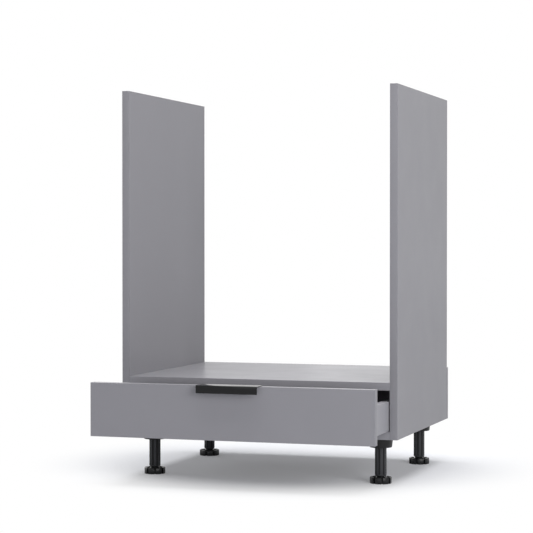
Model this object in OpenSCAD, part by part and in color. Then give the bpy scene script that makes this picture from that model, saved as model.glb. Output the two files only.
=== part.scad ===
// Base cabinet for a built-in oven: two side panels, a bottom panel, an oven shelf, and below the
// shelf a shallow drawer on concealed telescopic runners. It stands on four levelling legs.
// The origin is on the floor, in the middle of the length and width that the part takes up as it
// is drawn, with the drawer part of the way out. X is the width, -Y the front and Z up.

/* [Carcass] */
// Width over the two side panels
carcass_w = 600; // [500:10:900]
// Depth of the side panels, without the back panel
carcass_d = 460; // [440:10:600]
// Height of the side panels
carcass_h = 720; // [680:10:900]
// Thickness of the side panels, the bottom and the shelf
board_t = 16; // [15:1:22]
// Clear height of the drawer space
drawer_space_h = 84; // [82:1:200]
// Thickness of the back panel behind the drawer space
back_t = 12; // [8:1:16]

/* [Drawer] */
// How far the drawer stands open as drawn
drawer_open = 150; // [0:5:380]
// Width of each side panel that shows beside the drawer front
front_reveal = 1.5; // [0:0.5:5]
// Thickness of the drawer front
front_t = 18; // [16:1:22]
// Height of the lower edge of the front over the underside of the carcass
front_low = 6; // [0:1:12]
// Depth of the upper edge of the front under the top of the shelf
front_top_drop = 0.5; // [0:0.5:6]
// Gap between the closed front and the carcass
front_gap = 2; // [2:0.5:4]
// Thickness of the drawer sides
drawer_side_t = 18; // [16:1:19]
// Height of the drawer sides
drawer_side_h = 60; // [56:1:80]
// Room behind the drawer while it is shut
drawer_rear_gap = 32; // [12:1:60]
// Thickness of the drawer back
drawer_back_t = 16; // [12:1:19]
// Thickness of the drawer bottom
drawer_bottom_t = 12; // [8:1:12]
// Gap between a drawer side and the side panel next to it
drawer_side_gap = 2; // [1.5:0.5:5]
// Gap between the drawer sides and the bottom panel
drawer_under_gap = 1.5; // [1:0.5:3]

/* [Edge pull] */
// Width of the pull
pull_w = 128; // [64:2:320]
// How far the pull stands out in front of the drawer front
pull_reach = 18; // [14:1:30]
// Height of the lip that hangs at the front
pull_lip = 16; // [12:1:30]
// Thickness of the pull's sheet
pull_t = 1.5; // [1.2:0.1:1.8]
// Distance between the screws of the pull
pull_pitch = 96; // [32:2:288]

/* [Runners] */
// Room behind the rails of the carcass
rail_rear_gap = 58; // [10:1:80]
// Thickness of the steel of the outer rails
rail_t = 1.2; // [1:0.1:1.5]
// Height of a whole runner
runner_h = 12.7; // [12.7:0.1:16]
// Diameter of the balls
ball_d = 3.2; // [2.8:0.1:3.2]
// Balls in each row
ball_count = 8; // [4:1:10]

/* [Legs] */
// Height of the underside of the carcass over the floor
leg_h = 96; // [92:1:150]
// Distance of a leg's axis from the outer face of the side panel
leg_side_inset = 50; // [45:1:120]
// Distance of a leg's axis from the front or rear edge of the side panel
leg_end_inset = 60; // [40:1:100]
// Diameter of the leg tube
tube_d = 24; // [22:1:30]
// Height of the socket that holds the tube
socket_h = 16; // [12:1:20]
// How far the socket flares out from its lower edge to its upper one
socket_flare = 3.5; // [1:0.5:6]
// Diameter of the stem that carries the levelling foot
stem_d = 18; // [14:1:18]
// Diameter of the levelling foot
foot_d = 45; // [40:1:60]
// Height of the levelling foot's rim
foot_h = 11; // [9:1:15]
// Length of the stem that shows between the tube and the foot
neck_show = 5; // [4.5:0.5:25]

/* [Hidden] */
$fn = 48;

// Colours
board_grey = [0.58, 0.57, 0.60];
front_grey = [0.56, 0.555, 0.575];
steel = [0.74, 0.75, 0.76];
ball_steel = [0.85, 0.86, 0.87];
zinc_alloy = [0.66, 0.66, 0.64];
beech = [0.80, 0.66, 0.46];
nylon = [0.90, 0.90, 0.87];
black_plastic = [0.10, 0.10, 0.105];
black_metal = [0.14, 0.14, 0.145];
clear_pad = [0.86, 0.87, 0.87];

// Overrun of every cut past the face that it opens
cut = 1;
// Play of a pin, bolt, dowel or screw in its hole, on the radius
hole_play = 0.05;
// Play of a board in its groove, on each face
groove_play = 0.1;
// Running play of a ball in its race, and of the foot's stem in its tube, on the radius
ball_play = 0.05;
stem_play = 0.1;

// Cam fittings: a lock in the board, and a bolt that is screwed into the panel beside it
cam_d = 15;
cam_past_bolt = 4.5;
cam_clear = 22.5;
cam_back = 34;
cam_drive_w = 1.6;
cam_drive_l = 8;
cam_drive_deep = 2.5;
bolt_shank_d = 7;
bolt_neck_d = 4;
bolt_neck_l = 4;
bolt_head_l = 3;
bolt_thread_d = 5;
bolt_thread_l = 11;

// Dowels
dowel_d = 8;
dowel_l = 30;
dowel_panel_l = 11;
dowel_chamfer = 1;
dowel_clear = 4;

// Screws of the back panel, and of the drawer's back and bottom
long_screw_d = 4;
long_screw_l = 30;
long_head_d = 7.5;
long_head_l = 2.6;
side_screw_d = 5;
side_screw_l = 48;
side_head_d = 9;
side_head_l = 3;
point_share = 0.12;
back_side_shares = [0.26, 0.74];
back_edge_shares = [-0.25, 0, 0.25];
bottom_screw_shares = [-0.35, 0, 0.35];

// Small screws of the rails and the pull
rail_screw_d = 3.5;
rail_screw_l = 9;
rail_head_d = 6.4;
rail_screw_clear = 4.3;
pan_head_d = 6;
pan_head_l = 2;
pull_screw_d = 3;
pull_screw_l = 12;

// Drawer joinery
groove_deep = 6;
groove_clear = 0.2;
pad_d = 8;
pad_t = 1.8;
pad_shares = [0.13, 0.87];
pull_edge_r = 1;
pull_screw_clear = 1.5;
pull_flange_margin = 4;

// Runners: the distance of the ball rows from the runner's middle, and the middle rail's section
ball_row_x = 14;
middle_bar_t = 2.7;
middle_bar_back = 0.6;
middle_neck_w = 10;
runner_inset = 2;
rail_setback = 2;
stop_t = 2;
stop_w = 8;
stop_h = 3;
stop_play = 0.3;
spacer_d = 2.4;
// The middle rail goes half as far as the drawer, and each row of balls half way between its two rails
middle_share = 0.5;
lower_row_share = 0.25;
upper_row_share = 0.75;
// Length of a row of balls, and the place of its middle along its rails while the drawer is shut
ball_row_length_share = 0.42;
ball_row_middle_share = 0.5;

// Leg sockets
socket_wall = 2.5;
socket_gap = 5;
socket_plate_t = 3;
socket_hub_wall = 2;
socket_rib_t = 2;
socket_eye_d = 12;
socket_slot_w = 2.4;
socket_slot_deep = 1.6;
socket_screw_turn = 45;
socket_screw_l = 14;
socket_screw_d = 3;
socket_screws_each = 4;

// Leg tubes
tube_cap_t = 4;
tube_chamfer = 1.2;
flute_count = 8;
flute_r = 2.4;
flute_deep = 0.8;

// Levelling feet. The front ones are screwed half a notch further round than the rear ones
notch_count = 8;
front_turn_share = 0.5;
notch_w = 4.4;
notch_deep = 4.2;
foot_rim_w = 5;
foot_dish_deep = 3;
foot_chamfer = 1;
stem_in_tube = 40;
stem_collar_h = 2;
stem_collar_d = 21;

// Main levels and planes of the carcass, from the middle of its front edge at its underside
inner_x = carcass_w / 2 - board_t;
deck_z = board_t;
shelf_low_z = deck_z + drawer_space_h;
shelf_top_z = shelf_low_z + board_t;
panel_mid_x = carcass_w / 2 - board_t / 2;

// Where the carcass stands: the middle of the drawn length is at Y 0
front_extent = drawer_open + front_gap + front_t + pull_reach;
front_y = (front_extent - carcass_d - back_t) / 2;

// Drawer, in the same frame while it is shut
front_w = carcass_w - 2 * front_reveal;
front_rear_y = -front_gap;
front_face_y = front_rear_y - front_t;
front_top_z = shelf_top_z - front_top_drop;
front_h = front_top_z - front_low;
drawer_outer_x = inner_x - drawer_side_gap;
drawer_inner_x = drawer_outer_x - drawer_side_t;
drawer_mid_x = (drawer_outer_x + drawer_inner_x) / 2;
drawer_low_z = deck_z + drawer_under_gap;
drawer_top_z = drawer_low_z + drawer_side_h;
drawer_rear_y = carcass_d - drawer_rear_gap;
drawer_side_l = drawer_rear_y - front_rear_y;
bottom_low_z = deck_z + runner_h;
bottom_top_z = bottom_low_z + drawer_bottom_t;
drawer_cam_z = (bottom_top_z + drawer_top_z) / 2;
drawer_dowel_z = (drawer_low_z + bottom_low_z) / 2;

// Edge pull
pull_top_z = front_top_z + pull_t;
pull_face_y = front_face_y - pull_reach;
pull_rear_y = front_rear_y + pull_t;
pull_screw_z = shelf_low_z - pan_head_d / 2 - pull_screw_clear;
pull_low_z = pull_screw_z - pull_flange_margin;

// Runners
rail_l = carcass_d - rail_setback - rail_rear_gap;
ball_pitch = rail_l * ball_row_length_share / (ball_count - 1);
ball_r = ball_d / 2;
race_r = ball_r + ball_play;
curl_r = race_r + rail_t;
runner_x = drawer_inner_x - runner_inset - ball_row_x - curl_r;
upper_row_z = runner_h - curl_r;

// Legs, below the underside of the carcass
leg_x = carcass_w / 2 - leg_side_inset;
leg_front_y = leg_end_inset;
leg_rear_y = carcass_d - leg_end_inset;
socket_hub_r = tube_d / 2 + hole_play + socket_hub_wall;
socket_low_r = socket_hub_r + socket_gap + socket_wall;
socket_top_r = socket_low_r + socket_flare;
socket_screw_r = (socket_hub_r + socket_top_r - socket_wall) / 2;
tube_low_z = foot_h + neck_show;
tube_top_z = leg_h - socket_plate_t;
stem_bore_r = stem_d / 2 + stem_play;
foot_r = foot_d / 2;

// Places along the depth of the carcass: the dowels are in front of and behind the sockets of the
// legs, the cam fittings are between them, and the screws of the rails are clear of the cam fittings
dowel_y = leg_end_inset - socket_top_r - dowel_clear - dowel_d / 2;
cam_y = leg_end_inset + socket_top_r + cam_clear + cam_d / 2;
rail_screw_step = (cam_d + rail_head_d) / 2 + rail_screw_clear;
rail_screws_y = [
    cam_y - rail_screw_step,
    carcass_d / 2,
    carcass_d - cam_y - rail_screw_step
];

// Frames in which the pieces are drawn
module in_carcass() {
    translate([0, front_y, leg_h]) children();
}

// A piece that moves with the drawer, by a share of the drawer's way
module with_drawer(share = 1) {
    translate([0, front_y - drawer_open * share, leg_h]) children();
}

// The left hand piece is the right hand one, mirrored
module hand(side) {
    mirror([side < 0 ? 1 : 0, 0, 0]) children();
}

module both_hands() {
    for (side = [-1, 1]) hand(side) children();
}

module along_y(y, length) {
    translate([0, y + length, 0]) rotate([90, 0, 0]) linear_extrude(length) children();
}

// A round body that goes from the frame's origin along +X
module toward_x(d, l) {
    rotate([0, 90, 0]) cylinder(d = d, h = l);
}

// One that goes along +Y
module toward_rear(d, l) {
    rotate([-90, 0, 0]) cylinder(d = d, h = l);
}

// A countersunk screw whose head is flush with Z 0 and whose point is down
module flat_screw(d, l, head_d, head_l) {
    point_l = l * point_share;
    translate([0, 0, -head_l]) cylinder(d1 = d, d2 = head_d, h = head_l);
    translate([0, 0, point_l - l]) cylinder(d = d, h = l - head_l - point_l);
    translate([0, 0, -l]) cylinder(d1 = d * point_share, d2 = d, h = point_l);
}

// The hole for it, with play all round
module flat_screw_hole(d, l, head_d, head_l) {
    translate([0, 0, -head_l]) cylinder(d1 = d + 2 * hole_play, d2 = head_d + 2 * hole_play, h = head_l);
    translate([0, 0, -l - hole_play]) cylinder(d = d + 2 * hole_play, h = l);
    cylinder(d = head_d + 2 * hole_play, h = cut);
}

// A pan head screw whose head stands on Z 0 and whose point is down
module pan_screw(d, l) {
    point_l = l * point_share;
    cylinder(d = pan_head_d, h = pan_head_l / 2);
    translate([0, 0, pan_head_l / 2]) cylinder(d1 = pan_head_d, d2 = d, h = pan_head_l / 2);
    translate([0, 0, point_l - l]) cylinder(d = d, h = l - point_l);
    translate([0, 0, -l]) cylinder(d1 = d * point_share, d2 = d, h = point_l);
}

module pan_screw_hole(d, l) {
    translate([0, 0, -l - hole_play]) cylinder(d = d + 2 * hole_play, h = l + hole_play + cut);
}

// Cam fitting, along +X, in a board of thickness t. The joint between board and panel is at X 0,
// the bolt is in the middle of the board, and the lock opens in its lower face
module cam_lock(t) {
    difference() {
        translate([-cam_back, 0, -t / 2]) cylinder(d = cam_d, h = t / 2 + cam_past_bolt);
        translate([-cam_back - bolt_head_l / 2 - hole_play, 0, 0])
            toward_x(bolt_shank_d + 4 * hole_play, cam_d);
        translate([-cam_back, 0, -t / 2 - cut])
            for (turn = [0, 90]) rotate([0, 0, turn])
                translate([-cam_drive_l / 2, -cam_drive_w / 2, 0])
                    cube([cam_drive_l, cam_drive_w, cam_drive_deep + cut]);
    }
}

module cam_bolt() {
    head_x = -cam_back - bolt_head_l / 2;
    neck_x = head_x + bolt_head_l;
    shank_x = neck_x + bolt_neck_l;
    translate([head_x, 0, 0]) toward_x(bolt_shank_d, bolt_head_l);
    translate([neck_x, 0, 0]) toward_x(bolt_neck_d, bolt_neck_l);
    translate([shank_x, 0, 0]) toward_x(bolt_shank_d, -shank_x);
    toward_x(bolt_thread_d, bolt_thread_l);
}

// The bores for it in the board, and the hole in the panel
module cam_board_bores(t) {
    translate([-cam_back, 0, -t / 2 - cut])
        cylinder(d = cam_d + 2 * hole_play, h = t / 2 + cam_past_bolt + hole_play + cut);
    translate([-cam_back, 0, 0]) toward_x(bolt_shank_d + 4 * hole_play, cam_back + cut);
}

module cam_panel_hole() {
    translate([-cut, 0, 0]) toward_x(bolt_thread_d + 2 * hole_play, bolt_thread_l + hole_play + cut);
}

// Dowel along +X, part in the panel beyond X 0 and part in the board
module dowel() {
    board_l = dowel_l - dowel_panel_l;
    translate([-board_l, 0, 0]) rotate([0, 90, 0]) {
        cylinder(d1 = dowel_d - 2 * dowel_chamfer, d2 = dowel_d, h = dowel_chamfer);
        translate([0, 0, dowel_chamfer]) cylinder(d = dowel_d, h = dowel_l - 2 * dowel_chamfer);
        translate([0, 0, dowel_l - dowel_chamfer])
            cylinder(d1 = dowel_d, d2 = dowel_d - 2 * dowel_chamfer, h = dowel_chamfer);
    }
}

module dowel_hole() {
    board_l = dowel_l - dowel_panel_l;
    translate([-board_l - hole_play, 0, 0]) toward_x(dowel_d + 2 * hole_play, dowel_l + 2 * hole_play);
}

// The joints between the right hand side panel and the ends of the bottom panel and the shelf
module at_cams() {
    for (z = [deck_z - board_t / 2, shelf_low_z + board_t / 2])
        for (y = [cam_y, carcass_d - cam_y])
            translate([inner_x, y, z]) children();
}

module at_dowels() {
    for (z = [deck_z - board_t / 2, shelf_low_z + board_t / 2])
        for (y = [dowel_y, carcass_d - dowel_y])
            translate([inner_x, y, z]) children();
}

// The screws of the back panel, with their heads in its rear face
module at_back_screws() {
    translate([0, carcass_d + back_t, 0]) {
        for (side = [-1, 1])
            for (share = back_side_shares)
                translate([side * panel_mid_x, 0, shelf_top_z * share]) rotate([-90, 0, 0]) children();
        for (z = [deck_z - board_t / 2, shelf_low_z + board_t / 2])
            for (share = back_edge_shares)
                translate([carcass_w * share, 0, z]) rotate([-90, 0, 0]) children();
    }
}

module back_screw_holes() {
    at_back_screws() flat_screw_hole(long_screw_d, long_screw_l, long_head_d, long_head_l);
}

// Side panel
module side_panel(side) {
    color(board_grey) in_carcass() difference() {
        hand(side) difference() {
            translate([inner_x, 0, 0]) cube([board_t, carcass_d, carcass_h]);
            at_cams() cam_panel_hole();
            at_dowels() dowel_hole();
        }
        back_screw_holes();
    }
}

// A board between the side panels, with its lower face at z
module cross_board(z) {
    difference() {
        translate([-inner_x, 0, z]) cube([2 * inner_x, carcass_d, board_t]);
        both_hands() {
            at_cams() cam_board_bores(board_t);
            at_dowels() dowel_hole();
        }
        back_screw_holes();
    }
}

module bottom_panel() {
    color(board_grey) in_carcass() difference() {
        cross_board(0);
        at_legs_under() at_socket_screws() pan_screw_hole(socket_screw_d, socket_screw_l);
        both_hands() at_cabinet_rail_screws() rail_screw_hole();
    }
}

module oven_shelf() {
    color(board_grey) in_carcass() cross_board(shelf_low_z);
}

module back_panel() {
    color(board_grey) in_carcass() difference() {
        translate([-carcass_w / 2, carcass_d, 0]) cube([carcass_w, back_t, shelf_top_z]);
        back_screw_holes();
    }
}

module cam_locks() {
    color(zinc_alloy) in_carcass() both_hands() at_cams() cam_lock(board_t);
}

module cam_bolts() {
    color(steel) in_carcass() both_hands() at_cams() cam_bolt();
}

module dowels() {
    color(beech) in_carcass() both_hands() at_dowels() dowel();
}

module back_screws() {
    color(steel) in_carcass()
        at_back_screws() flat_screw(long_screw_d, long_screw_l, long_head_d, long_head_l);
}

// Legs. Each stands on the floor, and its socket is against the underside of the bottom panel
function leg_place(side, rear) = [side * leg_x, rear > 0 ? leg_rear_y : leg_front_y, 0];

module at_leg(side, rear) {
    translate([0, front_y, 0]) translate(leg_place(side, rear)) children();
}

module at_every_leg() {
    for (side = [-1, 1])
        for (rear = [0, 1])
            at_leg(side, rear) children();
}

// The same four places at the underside of the carcass, in the carcass's frame
module at_legs_under() {
    for (side = [-1, 1])
        for (rear = [0, 1])
            translate(leg_place(side, rear)) children();
}

// The screws of one socket: their heads are against its plate and their points are up
module at_socket_screws() {
    for (i = [0 : socket_screws_each - 1])
        rotate([0, 0, socket_screw_turn + 360 * i / socket_screws_each])
            translate([socket_screw_r, 0, -socket_plate_t]) mirror([0, 0, 1]) children();
}

// Tapered cup with a hub for the tube, four ribs, a slot outside each rib and four screw holes
module leg_socket(side, rear) {
    color(black_plastic) at_leg(side, rear) translate([0, 0, leg_h]) difference() {
        union() {
            rotate_extrude() polygon([
                [socket_eye_d / 2, 0],
                [socket_top_r, 0],
                [socket_low_r, -socket_h],
                [socket_low_r - socket_wall, -socket_h],
                [socket_top_r - socket_wall, -socket_plate_t],
                [socket_hub_r, -socket_plate_t],
                [socket_hub_r, -socket_h],
                [socket_hub_r - socket_hub_wall, -socket_h],
                [socket_hub_r - socket_hub_wall, -socket_plate_t],
                [socket_eye_d / 2, -socket_plate_t]
            ]);
            for (i = [0 : socket_screws_each - 1])
                rotate([0, 0, 360 * i / socket_screws_each]) socket_rib();
        }
        for (i = [0 : socket_screws_each - 1])
            rotate([0, 0, 360 * i / socket_screws_each]) socket_slot();
        at_socket_screws() pan_screw_hole(socket_screw_d, socket_screw_l);
    }
}

// A rib from the middle of the hub's wall to the middle of the cup's, and up into the plate
module socket_rib() {
    inner_r = socket_hub_r - socket_hub_wall / 2;
    translate([inner_r, -socket_rib_t / 2, -socket_h])
        cube([socket_low_r - socket_wall / 2 - inner_r, socket_rib_t, socket_h - socket_plate_t / 2]);
}

// A slot down the outside of the cup, as deep at the upper edge as at the lower one
module socket_slot() {
    translate([0, socket_slot_w / 2, 0]) rotate([90, 0, 0]) linear_extrude(socket_slot_w) polygon([
        [socket_low_r - socket_slot_deep, -socket_h - cut],
        [socket_low_r + cut, -socket_h - cut],
        [socket_top_r + cut, 0],
        [socket_top_r - socket_slot_deep, -socket_plate_t]
    ]);
}

module socket_screws() {
    color(steel) at_every_leg() translate([0, 0, leg_h])
        at_socket_screws() pan_screw(socket_screw_d, socket_screw_l);
}

// Fluted tube, closed at the top, with a bore for the foot's stem
module leg_tube(side, rear) {
    r = tube_d / 2;
    flute_low = tube_low_z + 2 * tube_chamfer;
    flute_high = leg_h - socket_h - 2 * tube_chamfer;
    color(black_plastic) at_leg(side, rear) difference() {
        rotate_extrude() polygon([
            [stem_bore_r, tube_low_z],
            [r - tube_chamfer, tube_low_z],
            [r, tube_low_z + tube_chamfer],
            [r, tube_top_z],
            [0, tube_top_z],
            [0, tube_top_z - tube_cap_t],
            [stem_bore_r, tube_top_z - tube_cap_t]
        ]);
        for (i = [0 : flute_count - 1])
            rotate([0, 0, 360 * i / flute_count])
                translate([r + flute_r - flute_deep, 0, flute_low])
                    cylinder(r = flute_r, h = flute_high - flute_low);
    }
}

// Notched foot with a raised rim, a collar and its stem
module levelling_foot(side, rear) {
    stem_r = stem_d / 2;
    dish_r = foot_r - foot_rim_w;
    dish_z = foot_h - foot_dish_deep;
    turn = rear > 0 ? 0 : front_turn_share * 360 / notch_count;
    color(black_plastic) at_leg(side, rear) difference() {
        rotate_extrude() polygon([
            [0, 0],
            [foot_r - foot_chamfer, 0],
            [foot_r, foot_chamfer],
            [foot_r, foot_h - foot_chamfer],
            [foot_r - foot_chamfer, foot_h],
            [dish_r + foot_chamfer, foot_h],
            [dish_r, dish_z],
            [stem_collar_d / 2, dish_z],
            [stem_collar_d / 2, foot_h + stem_collar_h],
            [stem_r, foot_h + stem_collar_h],
            [stem_r, tube_low_z + stem_in_tube - foot_chamfer],
            [stem_r - foot_chamfer, tube_low_z + stem_in_tube],
            [0, tube_low_z + stem_in_tube]
        ]);
        for (i = [0 : notch_count - 1])
            rotate([0, 0, turn + 360 * i / notch_count])
                translate([foot_r - notch_deep, -notch_w / 2, -cut])
                    cube([notch_deep + cut, notch_w, foot_h + 2 * cut]);
    }
}

// Runners, drawn about the middle of the right hand one
module channel_profile() {
    translate([-ball_row_x, 0]) square([2 * ball_row_x, rail_t]);
    for (side = [-1, 1])
        translate([side * ball_row_x, curl_r]) intersection() {
            difference() {
                circle(r = curl_r);
                circle(r = race_r);
            }
            translate([side > 0 ? 0 : -curl_r, -curl_r]) square([curl_r, 2 * curl_r]);
        }
}

module middle_profile() {
    bar_hw = ball_row_x - middle_bar_back;
    difference() {
        union() {
            for (z = [curl_r, upper_row_z])
                translate([-bar_hw, z - middle_bar_t / 2]) square([2 * bar_hw, middle_bar_t]);
            translate([-middle_neck_w / 2, curl_r]) square([middle_neck_w, upper_row_z - curl_r]);
        }
        for (side = [-1, 1])
            for (z = [curl_r, upper_row_z])
                translate([side * ball_row_x, z]) circle(r = race_r);
    }
}

module at_cabinet_rail_screws() {
    for (y = rail_screws_y) translate([runner_x, y, deck_z + rail_t]) children();
}

module at_drawer_rail_screws() {
    for (y = rail_screws_y)
        translate([runner_x, y, bottom_low_z - rail_t]) mirror([0, 0, 1]) children();
}

module rail_screw() {
    flat_screw(rail_screw_d, rail_screw_l, rail_head_d, rail_t);
}

module rail_screw_hole() {
    flat_screw_hole(rail_screw_d, rail_screw_l, rail_head_d, rail_t);
}

module cabinet_rail(side) {
    color(steel) in_carcass() hand(side) difference() {
        union() {
            translate([runner_x, 0, deck_z]) along_y(rail_setback, rail_l) channel_profile();
            translate([runner_x - stop_w / 2, rail_setback + rail_l, deck_z])
                cube([stop_w, stop_t, stop_h]);
        }
        at_cabinet_rail_screws() rail_screw_hole();
    }
}

module cabinet_rail_screws() {
    color(steel) in_carcass() both_hands() at_cabinet_rail_screws() rail_screw();
}

module middle_rail(side) {
    color(steel) with_drawer(middle_share) hand(side)
        translate([runner_x, 0, deck_z])
            along_y(rail_setback + stop_play, rail_l - 2 * stop_play) middle_profile();
}

module drawer_rail(side) {
    color(steel) with_drawer() hand(side) difference() {
        union() {
            translate([runner_x, 0, bottom_low_z]) mirror([0, 0, 1])
                along_y(rail_setback, rail_l) channel_profile();
            translate([runner_x - stop_w / 2, rail_setback - stop_t, bottom_low_z - stop_h])
                cube([stop_w, stop_t, stop_h]);
        }
        at_drawer_rail_screws() rail_screw_hole();
    }
}

module drawer_rail_screws() {
    color(steel) with_drawer() both_hands() at_drawer_rail_screws() rail_screw();
}

// The middles of the balls of the right hand runner, in one of its two pairs of rows
function ball_y(i) = rail_setback + rail_l * ball_row_middle_share
    + (i - (ball_count - 1) / 2) * ball_pitch;

module balls(row_z) {
    for (side = [-1, 1])
        for (i = [0 : ball_count - 1])
            translate([runner_x + side * ball_row_x, ball_y(i), deck_z + row_z]) sphere(r = ball_r);
}

// Rods between the balls, hollowed where the balls are
module spacers(row_z) {
    for (side = [-1, 1])
        translate([runner_x + side * ball_row_x, 0, deck_z + row_z]) difference() {
            translate([0, ball_y(0), 0]) toward_rear(spacer_d, (ball_count - 1) * ball_pitch);
            for (i = [0 : ball_count - 1])
                translate([0, ball_y(i), 0]) sphere(r = race_r);
        }
}

module lower_balls() {
    color(ball_steel) with_drawer(lower_row_share) both_hands() balls(curl_r);
}

module lower_spacers() {
    color(nylon) with_drawer(lower_row_share) both_hands() spacers(curl_r);
}

module upper_balls() {
    color(ball_steel) with_drawer(upper_row_share) both_hands() balls(upper_row_z);
}

module upper_spacers() {
    color(nylon) with_drawer(upper_row_share) both_hands() spacers(upper_row_z);
}

// Drawer joints, in the shut drawer's frame. The cam fitting's board is the drawer side, its lock
// opens in the inner face, and its bolt goes forward into the front
module at_drawer_cam() {
    translate([drawer_mid_x, front_rear_y, drawer_cam_z])
        rotate([0, 90, 0]) rotate([0, 0, -90]) children();
}

module at_drawer_dowel() {
    translate([drawer_mid_x, front_rear_y, drawer_dowel_z]) rotate([0, 0, -90]) children();
}

// The long screws through the right hand side into the back, and up through the bottom into it
module at_drawer_side_screw() {
    translate([drawer_outer_x, drawer_rear_y - drawer_back_t / 2, drawer_cam_z])
        rotate([0, 90, 0]) children();
}

module at_drawer_bottom_screws() {
    for (share = bottom_screw_shares)
        translate([2 * drawer_inner_x * share, drawer_rear_y - drawer_back_t / 2, bottom_low_z])
            mirror([0, 0, 1]) children();
}

module drawer_side_screw_hole() {
    flat_screw_hole(side_screw_d, side_screw_l, side_head_d, side_head_l);
}

module drawer_bottom_screw_hole() {
    flat_screw_hole(long_screw_d, long_screw_l, long_head_d, long_head_l);
}

module at_pull_screws() {
    for (side = [-1, 1])
        translate([side * pull_pitch / 2, pull_rear_y, pull_screw_z]) rotate([-90, 0, 0]) children();
}

// The groove that takes the edge of the drawer bottom
module bottom_groove() {
    translate([-drawer_inner_x - groove_deep, front_rear_y - groove_deep, bottom_low_z - groove_play])
        cube([2 * (drawer_inner_x + groove_deep), drawer_side_l + groove_deep + cut,
              drawer_bottom_t + 2 * groove_play]);
}

module drawer_front() {
    color(front_grey) with_drawer() difference() {
        translate([-front_w / 2, front_face_y, front_low]) cube([front_w, front_t, front_h]);
        both_hands() {
            at_drawer_cam() cam_panel_hole();
            at_drawer_dowel() dowel_hole();
        }
        bottom_groove();
        at_pull_screws() pan_screw_hole(pull_screw_d, pull_screw_l);
    }
}

module drawer_side(side) {
    color(board_grey) with_drawer() hand(side) difference() {
        translate([drawer_inner_x, front_rear_y, drawer_low_z])
            cube([drawer_side_t, drawer_side_l, drawer_side_h]);
        at_drawer_cam() cam_board_bores(drawer_side_t);
        at_drawer_dowel() dowel_hole();
        bottom_groove();
        at_drawer_side_screw() drawer_side_screw_hole();
    }
}

module drawer_back() {
    color(board_grey) with_drawer() difference() {
        translate([-drawer_inner_x, drawer_rear_y - drawer_back_t, bottom_top_z])
            cube([2 * drawer_inner_x, drawer_back_t, drawer_top_z - bottom_top_z]);
        both_hands() at_drawer_side_screw() drawer_side_screw_hole();
        at_drawer_bottom_screws() drawer_bottom_screw_hole();
    }
}

module drawer_bottom() {
    reach = groove_deep - groove_clear;
    color(board_grey) with_drawer() difference() {
        translate([-drawer_inner_x - reach, front_rear_y - reach, bottom_low_z])
            cube([2 * (drawer_inner_x + reach), drawer_side_l + reach, drawer_bottom_t]);
        at_drawer_bottom_screws() drawer_bottom_screw_hole();
        both_hands() at_drawer_rail_screws() rail_screw_hole();
    }
}

module drawer_cam_locks() {
    color(zinc_alloy) with_drawer() both_hands() at_drawer_cam() cam_lock(drawer_side_t);
}

module drawer_cam_bolts() {
    color(steel) with_drawer() both_hands() at_drawer_cam() cam_bolt();
}

module drawer_dowels() {
    color(beech) with_drawer() both_hands() at_drawer_dowel() dowel();
}

module drawer_back_screws() {
    color(steel) with_drawer() {
        both_hands() at_drawer_side_screw()
            flat_screw(side_screw_d, side_screw_l, side_head_d, side_head_l);
        at_drawer_bottom_screws() flat_screw(long_screw_d, long_screw_l, long_head_d, long_head_l);
    }
}

// Pads on the back of the front, which meet the front edges of the side panels
module bumper_pads() {
    color(clear_pad) with_drawer() both_hands()
        for (share = pad_shares)
            translate([panel_mid_x, front_rear_y, front_low + front_h * share])
                toward_rear(pad_d, pad_t);
}

// The pull's section: a plate over the front's top edge, a lip before it and a flange behind it
module pull_profile() {
    r = pull_edge_r;
    depth = pull_rear_y - pull_face_y;
    height = pull_top_z - pull_low_z;
    difference() {
        union() {
            translate([pull_face_y, pull_low_z]) square([depth, height - r]);
            translate([pull_face_y + r, pull_low_z]) square([depth - 2 * r, height]);
            translate([pull_face_y + r, pull_top_z - r]) circle(r = r);
            translate([pull_rear_y - r, pull_top_z - r]) circle(r = r);
        }
        translate([pull_face_y + pull_t, pull_low_z - cut])
            square([depth - 2 * pull_t, height - pull_t + cut]);
        translate([pull_face_y - cut, pull_low_z - cut])
            square([pull_t + 2 * cut, height - pull_lip + cut]);
    }
}

module edge_pull() {
    color(black_metal) with_drawer() difference() {
        translate([-pull_w / 2, 0, 0]) rotate([90, 0, 90]) linear_extrude(pull_w) pull_profile();
        at_pull_screws() pan_screw_hole(pull_screw_d, pull_screw_l);
    }
}

module pull_screws() {
    color(black_metal) with_drawer() at_pull_screws() pan_screw(pull_screw_d, pull_screw_l);
}

side_panel(-1);  // side_left
side_panel(1);  // side_right
bottom_panel();
oven_shelf();
back_panel();
cam_locks();
cam_bolts();
dowels();
back_screws();
leg_socket(-1, 0);  // leg_socket_front_left
leg_socket(1, 0);  // leg_socket_front_right
leg_socket(-1, 1);  // leg_socket_rear_left
leg_socket(1, 1);  // leg_socket_rear_right
leg_tube(-1, 0);  // leg_tube_front_left
leg_tube(1, 0);  // leg_tube_front_right
leg_tube(-1, 1);  // leg_tube_rear_left
leg_tube(1, 1);  // leg_tube_rear_right
levelling_foot(-1, 0);  // foot_front_left
levelling_foot(1, 0);  // foot_front_right
levelling_foot(-1, 1);  // foot_rear_left
levelling_foot(1, 1);  // foot_rear_right
socket_screws();
cabinet_rail(-1);  // cabinet_rail_left
cabinet_rail(1);  // cabinet_rail_right
cabinet_rail_screws();
middle_rail(-1);  // middle_rail_left
middle_rail(1);  // middle_rail_right
lower_balls();
lower_spacers();
upper_balls();
upper_spacers();
drawer_rail(-1);  // drawer_rail_left
drawer_rail(1);  // drawer_rail_right
drawer_rail_screws();
drawer_front();
drawer_side(-1);  // drawer_side_left
drawer_side(1);  // drawer_side_right
drawer_back();
drawer_bottom();
drawer_cam_locks();
drawer_cam_bolts();
drawer_dowels();
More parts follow.
